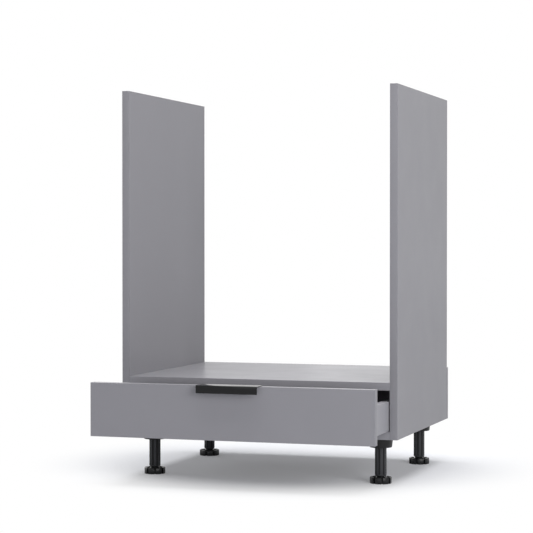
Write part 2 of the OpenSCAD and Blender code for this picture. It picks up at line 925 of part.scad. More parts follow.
drawer_back_screws();
bumper_pads();
edge_pull();
pull_screws();
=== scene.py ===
"""Looks of a kitchen base cabinet for a built-in oven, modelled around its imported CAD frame.

Every size is in metres and every place is in the CAD's frame: X is the width, -Y the front, Z up.
"""
import logging
import math
from contextlib import contextmanager
from dataclasses import dataclass
from enum import Enum
from typing import Iterable, Iterator, Sequence

import bmesh
import bpy
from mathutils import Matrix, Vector


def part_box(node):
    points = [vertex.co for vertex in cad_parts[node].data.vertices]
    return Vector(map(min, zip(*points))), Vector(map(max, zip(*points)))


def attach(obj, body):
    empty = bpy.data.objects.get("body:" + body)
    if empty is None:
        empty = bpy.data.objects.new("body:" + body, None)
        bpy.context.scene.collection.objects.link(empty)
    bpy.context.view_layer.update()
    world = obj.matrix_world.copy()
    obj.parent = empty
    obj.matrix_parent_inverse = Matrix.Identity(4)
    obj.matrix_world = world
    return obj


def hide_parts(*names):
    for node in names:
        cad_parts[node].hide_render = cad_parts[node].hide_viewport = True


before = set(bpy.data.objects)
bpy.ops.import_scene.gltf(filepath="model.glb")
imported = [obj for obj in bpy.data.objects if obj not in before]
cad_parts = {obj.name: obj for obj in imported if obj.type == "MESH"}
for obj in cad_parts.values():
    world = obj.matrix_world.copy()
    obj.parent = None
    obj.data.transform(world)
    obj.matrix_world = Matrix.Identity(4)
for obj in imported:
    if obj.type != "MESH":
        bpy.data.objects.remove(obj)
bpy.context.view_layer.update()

LOG = logging.getLogger("oven_base_cabinet")

Piece = bpy.types.Object
Material = bpy.types.Material
Node = bpy.types.Node
Socket = bpy.types.NodeSocket
Box = tuple[Vector, Vector]
Range = tuple[float, float]
Outline = Sequence[Range]
Triple = tuple[float, float, float]
Colour = Triple

MM = 0.001
# Points of a mesh that are nearer than WELD are one point; those within LEVEL lie on one plane.
WELD = MM / 1000
LEVEL = MM / 100
# How far a cutter stands out of the face that it cuts.
PROUD = MM
QUARTER = math.pi / 2
ORIGIN: Triple = (0.0, 0.0, 0.0)
EVEN: Triple = (1.0, 1.0, 1.0)
WHITE = (1.0, 1.0, 1.0, 1.0)
CARCASS, DRAWER = "carcass", "drawer"
# The attribute of a mesh that is 1 on the faces of flutes, which the plastic darkens as painted
# shade.
FLUTE_SHADE_MASK = "hollow"


# Words for directions and kinds


class Side(Enum):
    """The six sides of a board, each with its axis and its sign."""

    LEFT = (0, -1)
    RIGHT = (0, 1)
    FRONT = (1, -1)
    REAR = (1, 1)
    LOWER = (2, -1)
    UPPER = (2, 1)

    @property
    def axis(self) -> int:
        """The number of the axis, 0 for X to 2 for Z."""
        return self.value[0]

    @property
    def sign(self) -> int:
        """1 where the side faces along its axis, else -1."""
        return self.value[1]

    @property
    def outward(self) -> Vector:
        """The unit vector that points out of the side."""
        return Vector(float(self.sign) if axis == self.axis else 0.0 for axis in range(3))

    @property
    def turn(self) -> Sequence[float]:
        """The angles that turn a piece's Z out of the side."""
        return self.outward.to_track_quat("Z", "Y").to_euler()


ALL_ROUND = (Side.UPPER, Side.LOWER, Side.LEFT, Side.RIGHT)


class Hand(Enum):
    """The left or right half of the cabinet: its side towards the middle and its outer side."""

    LEFT = (Side.RIGHT, Side.LEFT)
    RIGHT = (Side.LEFT, Side.RIGHT)

    @property
    def inner(self) -> Side:
        """The side that faces the cabinet's middle."""
        return self.value[0]

    @property
    def outer(self) -> Side:
        """The side that faces away from the cabinet's middle."""
        return self.value[1]

    @property
    def word(self) -> str:
        """The hand as the names of pieces have it."""
        return self.name.lower()

    def holds(self, box: Box) -> bool:
        """Whether a solid lies in this half."""
        return (box[0].x + box[1].x) * self.outer.sign > 0


class Head(Enum):
    """The kinds of screw heads, each outlined in shares of its radius and its height."""

    FLAT = ((0.97, 0.0), (1.0, -0.06), (1.0, -0.16))
    PAN = ((0.55, 1.0), (0.82, 0.84), (0.96, 0.5), (1.0, 0.18), (0.98, 0.0))


class Work(Enum):
    """What tools do to a piece."""

    CUT = "DIFFERENCE"
    ADD = "UNION"


# The bench: modelling steps that the pieces share


def put_down() -> None:
    """Deselects everything, so that the next step acts on one piece alone."""
    bpy.ops.object.select_all(action="DESELECT")


def take_up(*pieces: Piece) -> None:
    """Selects pieces and makes the first one active.

    Args:
        *pieces: The pieces, of which there is at least one.
    """
    put_down()
    for piece in pieces:
        piece.select_set(True)
    bpy.context.view_layer.objects.active = pieces[0]


@contextmanager
def editing(action: str = "SELECT") -> Iterator[None]:
    """Opens the active piece for work on its edges.

    Args:
        action: What happens to the selection first, SELECT or DESELECT.

    Yields:
        Nothing; the piece is closed again afterwards.
    """
    bpy.ops.object.mode_set(mode="EDIT")
    bpy.ops.mesh.select_mode(type="EDGE")
    bpy.ops.mesh.select_all(action=action)
    yield
    bpy.ops.object.mode_set(mode="OBJECT")


def settle(piece: Piece) -> Piece:
    """Moves a piece's place and turn into its mesh, so that its object is at the origin.

    Args:
        piece: The piece to settle.

    Returns:
        The same piece.
    """
    take_up(piece)
    bpy.ops.object.transform_apply(location=True, rotation=True, scale=True)
    return piece


def posed(piece: Piece, place: Sequence[float] = ORIGIN, turn: Sequence[float] = ORIGIN) -> Piece:
    """Turns and moves a settled piece, and settles it again."""
    piece.location, piece.rotation_euler = place, turn
    return settle(piece)


def spun(piece: Piece, angle: float) -> Piece:
    """Turns a settled piece about Z."""
    return posed(piece, turn=(0.0, 0.0, angle))


def apply_modifier(piece: Piece, kind: str, **settings: object) -> None:
    """Adds a modifier to a piece and applies it.

    Args:
        piece: The piece to work on.
        kind: Blender's name for the kind of modifier.
        **settings: The modifier's own settings.
    """
    take_up(piece)
    modifier = piece.modifiers.new(kind.lower(), kind)
    for key, value in settings.items():
        setattr(modifier, key, value)
    bpy.ops.object.modifier_apply(modifier=modifier.name)


def soften(piece: Piece, radius: float, steps: int = 2, sharper_than: float = 35.0) -> None:
    """Rounds the arrises of a piece.

    Args:
        piece: The piece to work on.
        radius: The width of the rounding.
        steps: How many faces each rounding has.
        sharper_than: The least angle, in degrees, between the faces of an arris.
    """
    apply_modifier(piece, "BEVEL", width=radius, segments=steps, limit_method="ANGLE",
                   angle_limit=math.radians(sharper_than), use_clamp_overlap=True)


def smooth(piece: Piece, under: float = 32.0) -> None:
    """Shades a piece smooth, except over edges sharper than an angle in degrees."""
    take_up(piece)
    bpy.ops.object.shade_smooth_by_angle(angle=math.radians(under))


def block(name: str, low: Vector, high: Vector) -> Piece:
    """Adds a square-edged block between two corners.

    Args:
        name: The name of the piece.
        low: The lowest corner.
        high: The highest corner.

    Returns:
        The new piece.
    """
    put_down()
    bpy.ops.mesh.primitive_cube_add(size=1.0, location=(low + high) / 2, scale=high - low)
    piece = bpy.context.object
    piece.name = name
    return settle(piece)


def peg(place: Vector, side: Side, radius: float, deep: float, mouth: float = 0.0,
        sides: int = 48) -> Piece:
    """Adds a round cutter that goes into a face.

    Args:
        place: The middle of the hole in the face.
        side: The side of the board that the face is on.
        radius: The hole's radius at its deep end.
        deep: The depth of the hole.
        mouth: How much wider the radius is at the face than at the deep end.
        sides: How many flats the cutter has.

    Returns:
        The cutter.
    """
    put_down()
    length = deep + PROUD
    bpy.ops.mesh.primitive_cone_add(
        vertices=sides, radius1=radius, radius2=radius + mouth * length / deep, depth=length,
        location=place + side.outward * (length / 2 - deep), rotation=side.turn)
    return settle(bpy.context.object)


def combine(piece: Piece, tools: Sequence[Piece], work: Work = Work.CUT) -> None:
    """Cuts tools out of a piece, or adds them to it, and removes the tools.

    Args:
        piece: The piece to work on.
        tools: The cutters or additions, which act together.
        work: What they do.
    """
    if not tools:
        return
    take_up(*tools)
    if len(tools) > 1:
        bpy.ops.object.join()
    apply_modifier(piece, "BOOLEAN", object=tools[0], operation=work.value, solver="EXACT",
                   use_self=work is Work.ADD)
    drop(tools[0])


def cross_bars(length: float, width: float, bottom: float, top: float,
               left: Range = (1.0, 1.0)) -> list[Piece]:
    """Makes the two bars that cut a cross recess.

    Args:
        length: The length of each bar.
        width: The width of each bar.
        bottom: The height of their lower ends.
        top: The height of their upper ends.
        left: The shares of the length and width that are left at the bottom.

    Returns:
        The two cutters.
    """
    bars = []
    for angle in (0.0, QUARTER):
        bar = block("bar", Vector((-length / 2, -width / 2, bottom)),
                    Vector((length / 2, width / 2, top)))
        for vertex in bar.data.vertices:
            if abs(vertex.co.z - bottom) < LEVEL:
                vertex.co.x *= left[0]
                vertex.co.y *= left[1]
        bars.append(spun(bar, angle))
    return bars


def turned(name: str, outline: Outline, sides: int = 48, ring: bool = False) -> Piece:
    """Turns an outline about Z as on a lathe: a circle is extruded and widened from point to point.

    Args:
        name: The name of the piece.
        outline: The radius and height of each point, from one end to the other.
        sides: How many flats the turned piece has.
        ring: True where the outline closes on itself, else both ends are capped.

    Returns:
        The new piece, which stands on its axis at the origin.
    """
    put_down()
    radius, height = outline[0]
    bpy.ops.mesh.primitive_circle_add(vertices=sides, radius=radius, location=(0.0, 0.0, height),
                                      fill_type="NOTHING" if ring else "NGON")
    piece = bpy.context.object
    piece.name = name
    settle(piece)
    with editing():
        for next_radius, next_height in [*outline[1:], *(outline[:1] if ring else [])]:
            rise = (0.0, 0.0, next_height - height)
            bpy.ops.mesh.extrude_edges_move(TRANSFORM_OT_translate={"value": rise})
            share = next_radius / radius
            bpy.ops.transform.resize(value=(share, share, 1.0), center_override=ORIGIN)
            radius, height = next_radius, next_height
        if not ring:
            bpy.ops.mesh.edge_face_add()
        bpy.ops.mesh.select_all(action="SELECT")
        bpy.ops.mesh.remove_doubles(threshold=WELD)
        bpy.ops.mesh.normals_make_consistent(inside=False)
    return piece


def near(radius: float, height: float, *steps: Range) -> list[Range]:
    """Points of an outline about a corner, by their steps outward and up from it in millimetres."""
    return [(radius + out * MM, height + up * MM) for out, up in steps]


def thread(root: float, crest: float, start: float, end: float, pitch: float,
           shares: Triple) -> list[Range]:
    """Outlines a thread, turn by turn.

    Args:
        root: The radius between the turns.
        crest: The radius of the turns.
        start: The height where the first turn begins.
        end: The height past which no turn begins.
        pitch: The height of a turn, negative on the way down.
        shares: How much of a turn is over at the crest's start, at its end and at the root.

    Returns:
        The points of the thread.
    """
    points = []
    while (end - start) * pitch > 0:
        points.append((root, start))
        points += [(radius, start + share * pitch)
                   for radius, share in zip((crest, crest, root), shares)]
        start += pitch
    return points


def angles(count: int, start: float = 0.0) -> list[float]:
    """Angles that go evenly round a circle."""
    return [start + 2 * math.pi * number / count for number in range(count)]


def copied(piece: Piece, name: str, place: Sequence[float], turn: Sequence[float]) -> Piece:
    """Copies a piece that stands at the origin to another place, with a mesh of its own.

    Args:
        piece: The piece to copy.
        name: The name of the copy.
        place: Where the copy's origin goes.
        turn: The copy's turn about X, Y and Z, in radians.

    Returns:
        The copy.
    """
    take_up(piece)
    bpy.ops.object.duplicate()
    new = bpy.context.object
    new.name = name
    return posed(new, place, turn)


def drop(piece: Piece) -> None:
    """Removes a tool or a pattern, which isn't a piece of the cabinet."""
    bpy.data.objects.remove(piece, do_unlink=True)


def on_face(box: Box, side: Side, board: Box | None = None) -> Vector:
    """Finds the point of a face that is over the middle of a solid.

    Args:
        box: The lowest and highest corner of the solid.
        side: The side that the face is on.
        board: The corners of the board that has the face, or None for the solid itself.

    Returns:
        The point.
    """
    low, high = board or box
    place = (box[0] + box[1]) / 2
    place[side.axis] = (high if side.sign > 0 else low)[side.axis]
    return place


def clusters(node: str) -> list[Box]:
    """Finds the separate solids of a CAD node.

    Args:
        node: The name of the node.

    Returns:
        The lowest and highest corner of each solid, in order of X, then Y, then Z.
    """
    mesh = bmesh.new()
    mesh.from_mesh(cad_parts[node].data)
    bmesh.ops.remove_doubles(mesh, verts=mesh.verts, dist=WELD)
    unseen = set(mesh.verts)
    found: list[Box] = []
    while unseen:
        group, border = set(), [unseen.pop()]
        while border:
            point = border.pop()
            group.add(point)
            others = {link.other_vert(point) for link in point.link_edges} & unseen
            unseen -= others
            border += others
        found.append(tuple(Vector(reach(p.co[i] for p in group) for i in range(3))
                           for reach in (min, max)))
    mesh.free()
    return sorted(found, key=lambda box: tuple(round(v, 4) for v in box[0]))


# Finishes


class NodeBench:
    """The emptied node tree of a material or a world, with the steps that fill it."""

    def __init__(self, owner: Material | bpy.types.World) -> None:
        """Empties the owner's node tree.

        Args:
            owner: The material or world.
        """
        owner.use_nodes = True
        self.tree = owner.node_tree
        self.tree.nodes.clear()

    def fill(self, node: Node, *first: object, **inputs: object) -> None:
        """Fills a node's sockets with patterns or plain values.

        Args:
            node: The node.
            *first: What its first sockets get, in order.
            **inputs: What other sockets get, with _ for a space in their names.
        """
        named = {key.replace("_", " "): value for key, value in inputs.items()}
        for key, value in [*enumerate(first), *named.items()]:
            if isinstance(value, Socket):
                self.tree.links.new(value, node.inputs[key])
            else:
                node.inputs[key].default_value = value

    def node(self, kind: str, *first: object, how: str = "", **inputs: object) -> Node:
        """Adds a node and fills its sockets.

        Args:
            kind: Blender's name for the kind of node, without ShaderNode.
            *first: What its first sockets get, in order.
            how: Its operation, where it has one.
            **inputs: What other sockets get, with _ for a space in their names.

        Returns:
            The node.
        """
        node = self.tree.nodes.new(f"ShaderNode{kind}")
        if how:
            node.operation = how
        self.fill(node, *first, **inputs)
        return node

    def joined(self, *sources: Socket, how: str = "ADD") -> Socket:
        """Joins patterns one after the other.

        Args:
            *sources: The patterns.
            how: The operation that joins them.

        Returns:
            The joined pattern.
        """
        total, *others = sources
        for source in others:
            total = self.node("Math", total, source, how=how).outputs[0]
        return total

    def spread(self, source: Socket, low: float, high: float, start: float = 0.3,
               end: float = 0.7, curve: str = "LINEAR") -> Socket:
        """Spreads a part of a pattern's range over another range.

        Args:
            source: The pattern.
            low: What start becomes.
            high: What end becomes.
            start: The lower end of the pattern's part.
            end: The upper end of the pattern's part.
            curve: How it goes from one end to the other.

        Returns:
            The spread pattern.
        """
        node = self.node("MapRange", Value=source, From_Min=start, From_Max=end, To_Min=low,
                         To_Max=high)
        node.interpolation_type = curve
        return node.outputs["Result"]

    def seen(self) -> Socket:
        """A socket that is 1 for what the eye sees, also in metal and through glass, else 0."""
        path = self.node("LightPath").outputs
        return self.joined(path["Is Camera Ray"], path["Is Glossy Ray"],
                           path["Is Transmission Ray"], how="MAXIMUM")

    def show(self, share: Socket, first: Node, second: Node, output: str) -> None:
        """Goes from one shader to another by a pattern, and shows that.

        Args:
            share: The pattern, 0 for the first shader to 1 for the second.
            first: The first shader.
            second: The second shader.
            output: The kind of output node.
        """
        mix = self.node("MixShader", share, first.outputs[0], second.outputs[0])
        self.node(output, Surface=mix.outputs[0])


class Recipe(NodeBench):
    """A material's node tree, put together in a finisher's words."""

    def __init__(self, name: str) -> None:
        """Starts a material with its shader and an object-space pattern frame.

        Args:
            name: The name of the material.
        """
        self.material = bpy.data.materials.new(name)
        super().__init__(self.material)
        self.shader = self.node("BsdfPrincipled")
        self.node("OutputMaterial", Surface=self.shader.outputs["BSDF"])
        self.place = self.node("TexCoord").outputs["Object"]

    def surface(self, **inputs: object) -> Material:
        """Fills the shader's sockets, named with _ for a space, and gives the material."""
        self.fill(self.shader, **inputs)
        return self.material

    def stretched(self, factors: Triple) -> Socket:
        """The pattern frame, scaled along X, Y and Z."""
        return self.node("Mapping", Scale=factors, Vector=self.place).outputs["Vector"]

    def noise(self, size: float, detail: float = 2.0, rough: float = 0.5,
              stretch: Triple = EVEN) -> Socket:
        """Soft noise from 0 to 1.

        Args:
            size: The width of its spots.
            detail: How many finer layers it has.
            rough: How strong the finer layers are.
            stretch: Factors on the pattern frame; under 1 makes the spots longer.

        Returns:
            The noise.
        """
        return self.node("TexNoise", Vector=self.stretched(stretch), Scale=1.0 / size,
                         Detail=detail, Roughness=rough).outputs["Fac"]

    def cells(self, size: float, stretch: Triple = EVEN) -> Socket:
        """The distance to the middle of the nearest of many random cells."""
        return self.node("TexVoronoi", Vector=self.stretched(stretch),
                         Scale=1.0 / size).outputs["Distance"]

    def marked(self, name: str) -> Socket:
        """Reads a number that a piece's mesh holds for each face, or 0 where it holds none.

        Args:
            name: The name of the attribute.

        Returns:
            The number.
        """
        node = self.node("Attribute")
        node.attribute_name = name
        return node.outputs["Fac"]

    def blend(self, share: Socket, first: Colour, second: Colour) -> Socket:
        """Mixes two colours.

        Args:
            share: The pattern, 0 for the first colour to 1 for the second.
            first: The first colour.
            second: The second colour.

        Returns:
            The mixed colour.
        """
        node = self.node("Mix")
        node.data_type = "RGBA"
        # The node has a pair of sockets for each type of data, and these are the colours' pair.
        pair = (socket for socket in node.inputs if socket.type == "RGBA")
        for socket, colour in zip(pair, (first, second)):
            socket.default_value = (*colour, 1.0)
        self.fill(node, Factor=share)
        return next(socket for socket in node.outputs if socket.type == "RGBA")

    def darkened(self, source: Socket, share: Socket) -> Socket:
        """A colour times a pattern from 0 to 1."""
        return self.node("VectorMath", source, how="SCALE", Scale=share).outputs[0]

    def relief(self, height: Socket, deep: float, under: Socket | None = None) -> Socket:
        """Bump from a pattern.

        Args:
            height: The pattern.
            deep: The height that 1 stands for.
            under: The bump that this one lies on.

        Returns:
            The normal.
        """
        node = self.node("Bump", Strength=1.0, Distance=deep, Height=height)
        if under is not None:
            self.fill(node, Normal=under)
        return node.outputs["Normal"]


def tint(colour: Colour, factor: float) -> Colour:
    """A colour made lighter or darker by a factor."""
    return tuple(min(1.0, part * factor) for part in colour)


@dataclass(frozen=True)
class Finish:
    """A surface with a name and a main colour."""

    name: str
    colour: Colour

    def made(self) -> Material:
        """Makes the material."""
        raise NotImplementedError


@dataclass(frozen=True)
class Melamine(Finish):
    """Decor paper under clear resin, pressed on chipboard with a fine matt texture."""

    mottle: float = 0.014
    cloud: float = 0.008
    rough: Range = (0.28, 0.33)
    sheen: float = 0.04
    paper_size: float = 2.4 * MM
    cloud_size: float = 0.16
    gloss_size: float = 0.07
    wave_size: float = 0.05
    wave_deep: float = 0.004 * MM
    grain: float = 3.2 * MM
    grain_deep: float = 0.0015 * MM

    def made(self) -> Material:
        """Makes the material."""
        mix = Recipe(self.name)
        reach = self.mottle + self.cloud
        paper = mix.noise(self.paper_size, detail=1.0)
        wide = mix.noise(self.cloud_size, detail=3.0, rough=0.55)
        share = mix.joined(mix.spread(paper, 0.0, self.mottle / reach, start=0.25, end=0.75),
                           mix.spread(wide, 0.0, self.cloud / reach, start=0.35, end=0.65))
        press = mix.relief(mix.noise(self.grain, detail=0.0), self.grain_deep)
        return mix.surface(
            Base_Color=mix.blend(share, tint(self.colour, 1 - reach), tint(self.colour, 1 + reach)),
            Roughness=mix.spread(mix.noise(self.gloss_size, detail=4.0, rough=0.6), *self.rough),
            Normal=mix.relief(mix.noise(self.wave_size, detail=0.0), self.wave_deep, press),
            IOR=1.5, Specular_IOR_Level=self.sheen)


@dataclass(frozen=True)
class CalmMelamine(Melamine):
    """Melamine with a calmer decor and a finer texture, as edge bands and the front have it."""

    mottle: float = 0.010
    rough: Range = (0.28, 0.34)
    grain: float = 2.6 * MM
    grain_deep: float = 0.0012 * MM


@dataclass(frozen=True)
class MouldedPlastic(Finish):
    """Injection-moulded plastic with an eroded grain and a little dust, and painted shade in its
    flutes.
    """

    dust: Colour
    rough: Range = (0.28, 0.36)
    sheen: float = 0.2
    dusty: float = 0.55
    film_size: float = 11 * MM
    gloss_size: float = 6 * MM
    coarser: float = 3.0
    grain: float = 0.45 * MM
    grain_deep: float = 0.02 * MM
    inner_glow: float = 0.0
    glow_deep: float = 2 * MM
    # How dark the painted shade in the flutes is, as a share of the colour.
    hollow_tone: float = 0.3

    def made(self) -> Material:
        """Makes the material."""
        mix = Recipe(self.name)
        film = mix.noise(self.film_size, detail=5.0, rough=0.65)
        face = mix.blend(mix.spread(film, 0.0, self.dusty, start=0.42, end=0.75),
                         self.colour, self.dust)
        # Painted shade: the colour is darkened on the faces of the flutes.
        painted_flute_shade = mix.spread(mix.marked(FLUTE_SHADE_MASK), 1.0, self.hollow_tone, start=0.0, end=1.0)
        pits = mix.relief(mix.cells(self.grain), self.grain_deep)
        return mix.surface(
            Base_Color=mix.darkened(face, painted_flute_shade),
            Roughness=mix.spread(mix.noise(self.gloss_size, detail=4.0), *self.rough),
            Normal=mix.relief(mix.noise(self.grain * self.coarser, detail=3.0),
                              self.grain_deep, pits),
            IOR=1.49, Specular_IOR_Level=self.sheen,
            Subsurface_Weight=self.inner_glow, Subsurface_Scale=self.glow_deep)


@dataclass(frozen=True)
class PaintedMetal(Finish):
    """Sheet metal under a thin matt powder coat with a fine orange peel."""

    fleck_gain: float = 1.9
    rough: Range = (0.12, 0.18)
    sheen: float = 0.2
    fleck_size: float = 0.35 * MM
    gloss_size: float = 9 * MM
    peel_size: float = 0.8 * MM
    peel_deep: float = 0.02 * MM
    wave_size: float = 4 * MM
    wave_deep: float = 0.01 * MM

    def made(self) -> Material:
        """Makes the material."""
        mix = Recipe(self.name)
        flecks = mix.spread(mix.noise(self.fleck_size, rough=0.6), 0.0, 1.0, start=0.35, end=0.8)
        peel = mix.relief(mix.noise(self.peel_size), self.peel_deep)
        return mix.surface(
            Base_Color=mix.blend(flecks, self.colour, tint(self.colour, self.fleck_gain)),
            Roughness=mix.spread(mix.noise(self.gloss_size, detail=4.0), *self.rough),
            Normal=mix.relief(mix.noise(self.wave_size, detail=1.0), self.wave_deep, peel),
            IOR=1.5, Specular_IOR_Level=self.sheen)


@dataclass(frozen=True)
class Plating(Finish):
    """Bare or plated metal, with streaks along one axis and a faint cloudy tint."""

    cloudy: Colour
    rough: Range = (0.28, 0.36)
    cloud_size: float = 14 * MM
    streak_size: float = 0.35 * MM
    streak: Triple = (1.0, 0.04, 1.0)
    streak_deep: float = 0.006 * MM
    pit_size: float = 0.7 * MM
    pit_deep: float = 0.0

    def made(self) -> Material:
        """Makes the material."""
        mix = Recipe(self.name)
        clouds = mix.noise(self.cloud_size, detail=4.0, rough=0.6)
        lines = mix.noise(self.streak_size, detail=3.0, rough=0.6, stretch=self.streak)
        worn = mix.joined(lines, clouds, how="MULTIPLY")
        drawn = mix.relief(lines, self.streak_deep)
        if self.pit_deep > 0:
            pits = mix.noise(self.pit_size, detail=3.0, rough=0.7)
            drawn = mix.relief(pits, self.pit_deep, drawn)
        return mix.surface(
            Base_Color=mix.blend(mix.spread(clouds, 0.0, 1.0), self.colour, self.cloudy),
            Roughness=mix.spread(worn, *self.rough, start=0.1, end=0.45), Normal=drawn,
            Metallic=1.0)


@dataclass(frozen=True)
class Beech(Finish):
    """Raw turned beech with its grain along X."""

    pore: Colour
    rough: Range = (0.55, 0.75)
    fibre_size: float = 0.5 * MM
    fibre_stretch: Triple = (0.06, 1.0, 1.0)
    fibre_deep: float = 0.05 * MM
    ray_size: float = 1.1 * MM
    ray_stretch: Triple = (0.2, 1.0, 1.0)

    def made(self) -> Material:
        """Makes the material."""
        mix = Recipe(self.name)
        fibre = mix.noise(self.fibre_size, detail=4.0, rough=0.65, stretch=self.fibre_stretch)
        rays = mix.cells(self.ray_size, self.ray_stretch)
        wood = mix.spread(mix.joined(fibre, rays, how="MULTIPLY"), 0.0, 1.0, start=0.05, end=0.5)
        return mix.surface(Base_Color=mix.blend(wood, self.pore, self.colour),
                           Roughness=mix.spread(fibre, *self.rough),
                           Normal=mix.relief(fibre, self.fibre_deep))


@dataclass(frozen=True)
class SoftPad(Finish):
    """Soft translucent plastic, slightly milky."""

    rough: Range = (0.28, 0.38)
    clearness: float = 0.55
    milkiness: float = 0.2
    milk_tone: float = 0.94
    milk_size: float = 2.5 * MM
    milk_deep: float = 0.05 * MM
    gloss_size: float = 1.5 * MM
    glow_deep: float = 2 * MM

    def made(self) -> Material:
        """Makes the material."""
        mix = Recipe(self.name)
        milk = mix.noise(self.milk_size, detail=3.0)
        milky = tint(self.colour, self.milk_tone)
        return mix.surface(
            Base_Color=mix.blend(mix.spread(milk, 0.0, 1.0), milky, self.colour),
            Roughness=mix.spread(mix.noise(self.gloss_size), *self.rough),
            Normal=mix.relief(milk, self.milk_deep), IOR=1.45,
            Transmission_Weight=self.clearness, Subsurface_Weight=self.milkiness,
            Subsurface_Scale=self.glow_deep)


GREY: Colour = (0.240, 0.2365, 0.2545)


class Look(Enum):
    """Every finish of the cabinet, with the record's material slot that it belongs to."""

    BOARD = ("board", Melamine("board_melamine", GREY))
    BOARD_BAND = ("board", CalmMelamine("board_edge_band", tint(GREY, 0.97)))
    FRONT = ("front_board", CalmMelamine("front_melamine", tint(GREY, 0.98), grain=2.9 * MM))
    FRONT_BAND = ("front_board", CalmMelamine("front_edge_band", GREY))
    # The drawer box's melamine and bands are the carcass's grey painted lighter: painted light on
    # the drawer side, which shows between the front and the carcass.
    DRAWER_BOARD = ("board", Melamine("drawer_melamine", tint(GREY, 1.22)))
    DRAWER_BAND = ("board", CalmMelamine("drawer_edge_band", tint(GREY, 1.19), rough=(0.28, 0.33)))
    # The legs are one black plastic in two copies: a darker one for the sockets and feet, as
    # painted shade under the cabinet, and a lighter one for the tubes, as painted light.
    BLACK_PLASTIC = ("black_plastic", MouldedPlastic(
        "black_plastic", (0.0095, 0.0097, 0.0105), (0.014, 0.0142, 0.015), sheen=0.26))
    TUBE_PLASTIC = ("black_plastic", MouldedPlastic(
        "black_tube_plastic", (0.054, 0.0552, 0.0585), (0.062, 0.063, 0.0655), sheen=0.1))
    BLACK_METAL = ("black_metal", PaintedMetal("black_powder_coat", (0.0055, 0.0055, 0.006)))
    RAIL_STEEL = ("rail_steel", Plating(
        "zinc_plated_rails", (0.60, 0.61, 0.62), (0.625, 0.625, 0.62), rough=(0.28, 0.33)))
    BALL_STEEL = ("ball_steel", Plating(
        "polished_balls", (0.72, 0.73, 0.74), (0.76, 0.76, 0.76), rough=(0.06, 0.14),
        streak=EVEN, streak_deep=0.001 * MM))
    SCREW_STEEL = ("screw_steel", Plating(
        "zinc_plated_screws", (0.62, 0.62, 0.60), (0.68, 0.65, 0.55), rough=(0.28, 0.40),
        streak=EVEN))
    BOLT_STEEL = ("bolt_steel", Plating(
        "zinc_plated_bolts", (0.62, 0.62, 0.61), (0.66, 0.64, 0.58), streak=(0.1, 1.0, 1.0)))
    ZINC = ("zinc", Plating(
        "cast_zinc", (0.48, 0.48, 0.46), (0.56, 0.55, 0.53), rough=(0.38, 0.55), streak=EVEN,
        pit_deep=0.03 * MM))
    BEECH = ("beech", Beech("raw_beech", (0.52, 0.33, 0.18), (0.34, 0.19, 0.09)))
    NYLON = ("nylon", MouldedPlastic(
        "natural_nylon", (0.74, 0.73, 0.66), (0.66, 0.65, 0.60), sheen=0.5, inner_glow=0.15))
    CLEAR_PAD = ("clear_pad", SoftPad("soft_pad", (0.86, 0.87, 0.87)))

    @property
    def slot(self) -> str:
        """The record's material slot."""
        return self.value[0]

    @property
    def finish(self) -> Finish:
        """What the material is made from."""
        return self.value[1]


class FinishShop:
    """Makes each finish once, and gives it to pieces and CAD nodes."""

    def __init__(self) -> None:
        """Makes the finishes."""
        self.materials = {look: look.finish.made() for look in Look}

    def finish(self, piece: Piece, body: str, look: Look, *names: str) -> None:
        """Gives a piece its finish and its body, and reports it.

        Args:
            piece: The piece, which is in its place.
            body: The CAD body that it rides on.
            look: The finish.
            *names: The CAD nodes that it replaces.
        """
        piece.data.materials.clear()
        piece.data.materials.append(self.materials[look])
        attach(piece, body)
        if names:
            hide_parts(*names)
        LOG.info("%s: %d faces, on %s", piece.name, len(piece.data.polygons), body)

    def dress(self, node: str, look: Look) -> None:
        """Gives a CAD node, whose shape stays, its finish.

        Args:
            node: The name of the node.
            look: The finish.
        """
        carried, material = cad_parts[node], self.materials[look]
        if not carried.material_slots:
            carried.data.materials.append(material)
        for place in carried.material_slots:
            place.material = material
        LOG.info("%s: CAD node, dressed in %s", node, material.name)


# Boards


@dataclass
class Board:
    """A faced board with banded edges, where the CAD has a node of the same name."""

    node: str
    bands: tuple[Side, ...]
    body: str = CARCASS
    face_look: Look = Look.BOARD
    band_look: Look = Look.BOARD_BAND
    band_t: float = 1.0 * MM
    arris: float = 0.5 * MM
    core_arris: float = 0.12 * MM

    def build(self, shop: FinishShop, cutters: Sequence[Piece] = ()) -> None:
        """Builds the board and its edge bands.

        Args:
            shop: The finishes.
            cutters: Tools that are cut out of the board between its bands.
        """
        low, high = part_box(self.node)
        for side in self.bands:
            band_low, band_high = low.copy(), high.copy()
            if side.sign > 0:
                band_low[side.axis] = high[side.axis] = high[side.axis] - self.band_t
            else:
                band_high[side.axis] = low[side.axis] = low[side.axis] + self.band_t
            band = block(f"{self.node}_{side.name.lower()}_band", band_low, band_high)
            self.round_band(band, side)
            smooth(band)
            shop.finish(band, self.body, self.band_look)
        core = block(f"{self.node}_board", low, high)
        soften(core, self.core_arris, steps=1)
        combine(core, cutters)
        smooth(core, under=20.0)
        shop.finish(core, self.body, self.face_look, self.node)

    def round_band(self, band: Piece, side: Side) -> None:
        """Scrapes a band's outer arrises round, and eases its inner ones at the hairline joint.

        Args:
            band: The square-edged band.
            side: The side of the board that it is on.
        """
        take_up(band)
        with editing("DESELECT"):
            mesh = bmesh.from_edit_mesh(band.data)
            reach = max(end.co[side.axis] * side.sign for end in mesh.verts)
            for edge in mesh.edges:
                if all(abs(end.co[side.axis] * side.sign - reach) < LEVEL for end in edge.verts):
                    edge.select_set(True)
            bpy.ops.mesh.bevel(offset=self.arris, segments=3, affect="EDGES")
        soften(band, self.core_arris, steps=1, sharper_than=50.0)


@dataclass
class DrawerBoard(Board):
    """A board of the drawer's box, in the carcass's grey painted lighter: painted light on the
    drawer side, which shows between the front and the carcass.
    """

    body: str = DRAWER
    face_look: Look = Look.DRAWER_BOARD
    band_look: Look = Look.DRAWER_BAND


# Screws and fittings


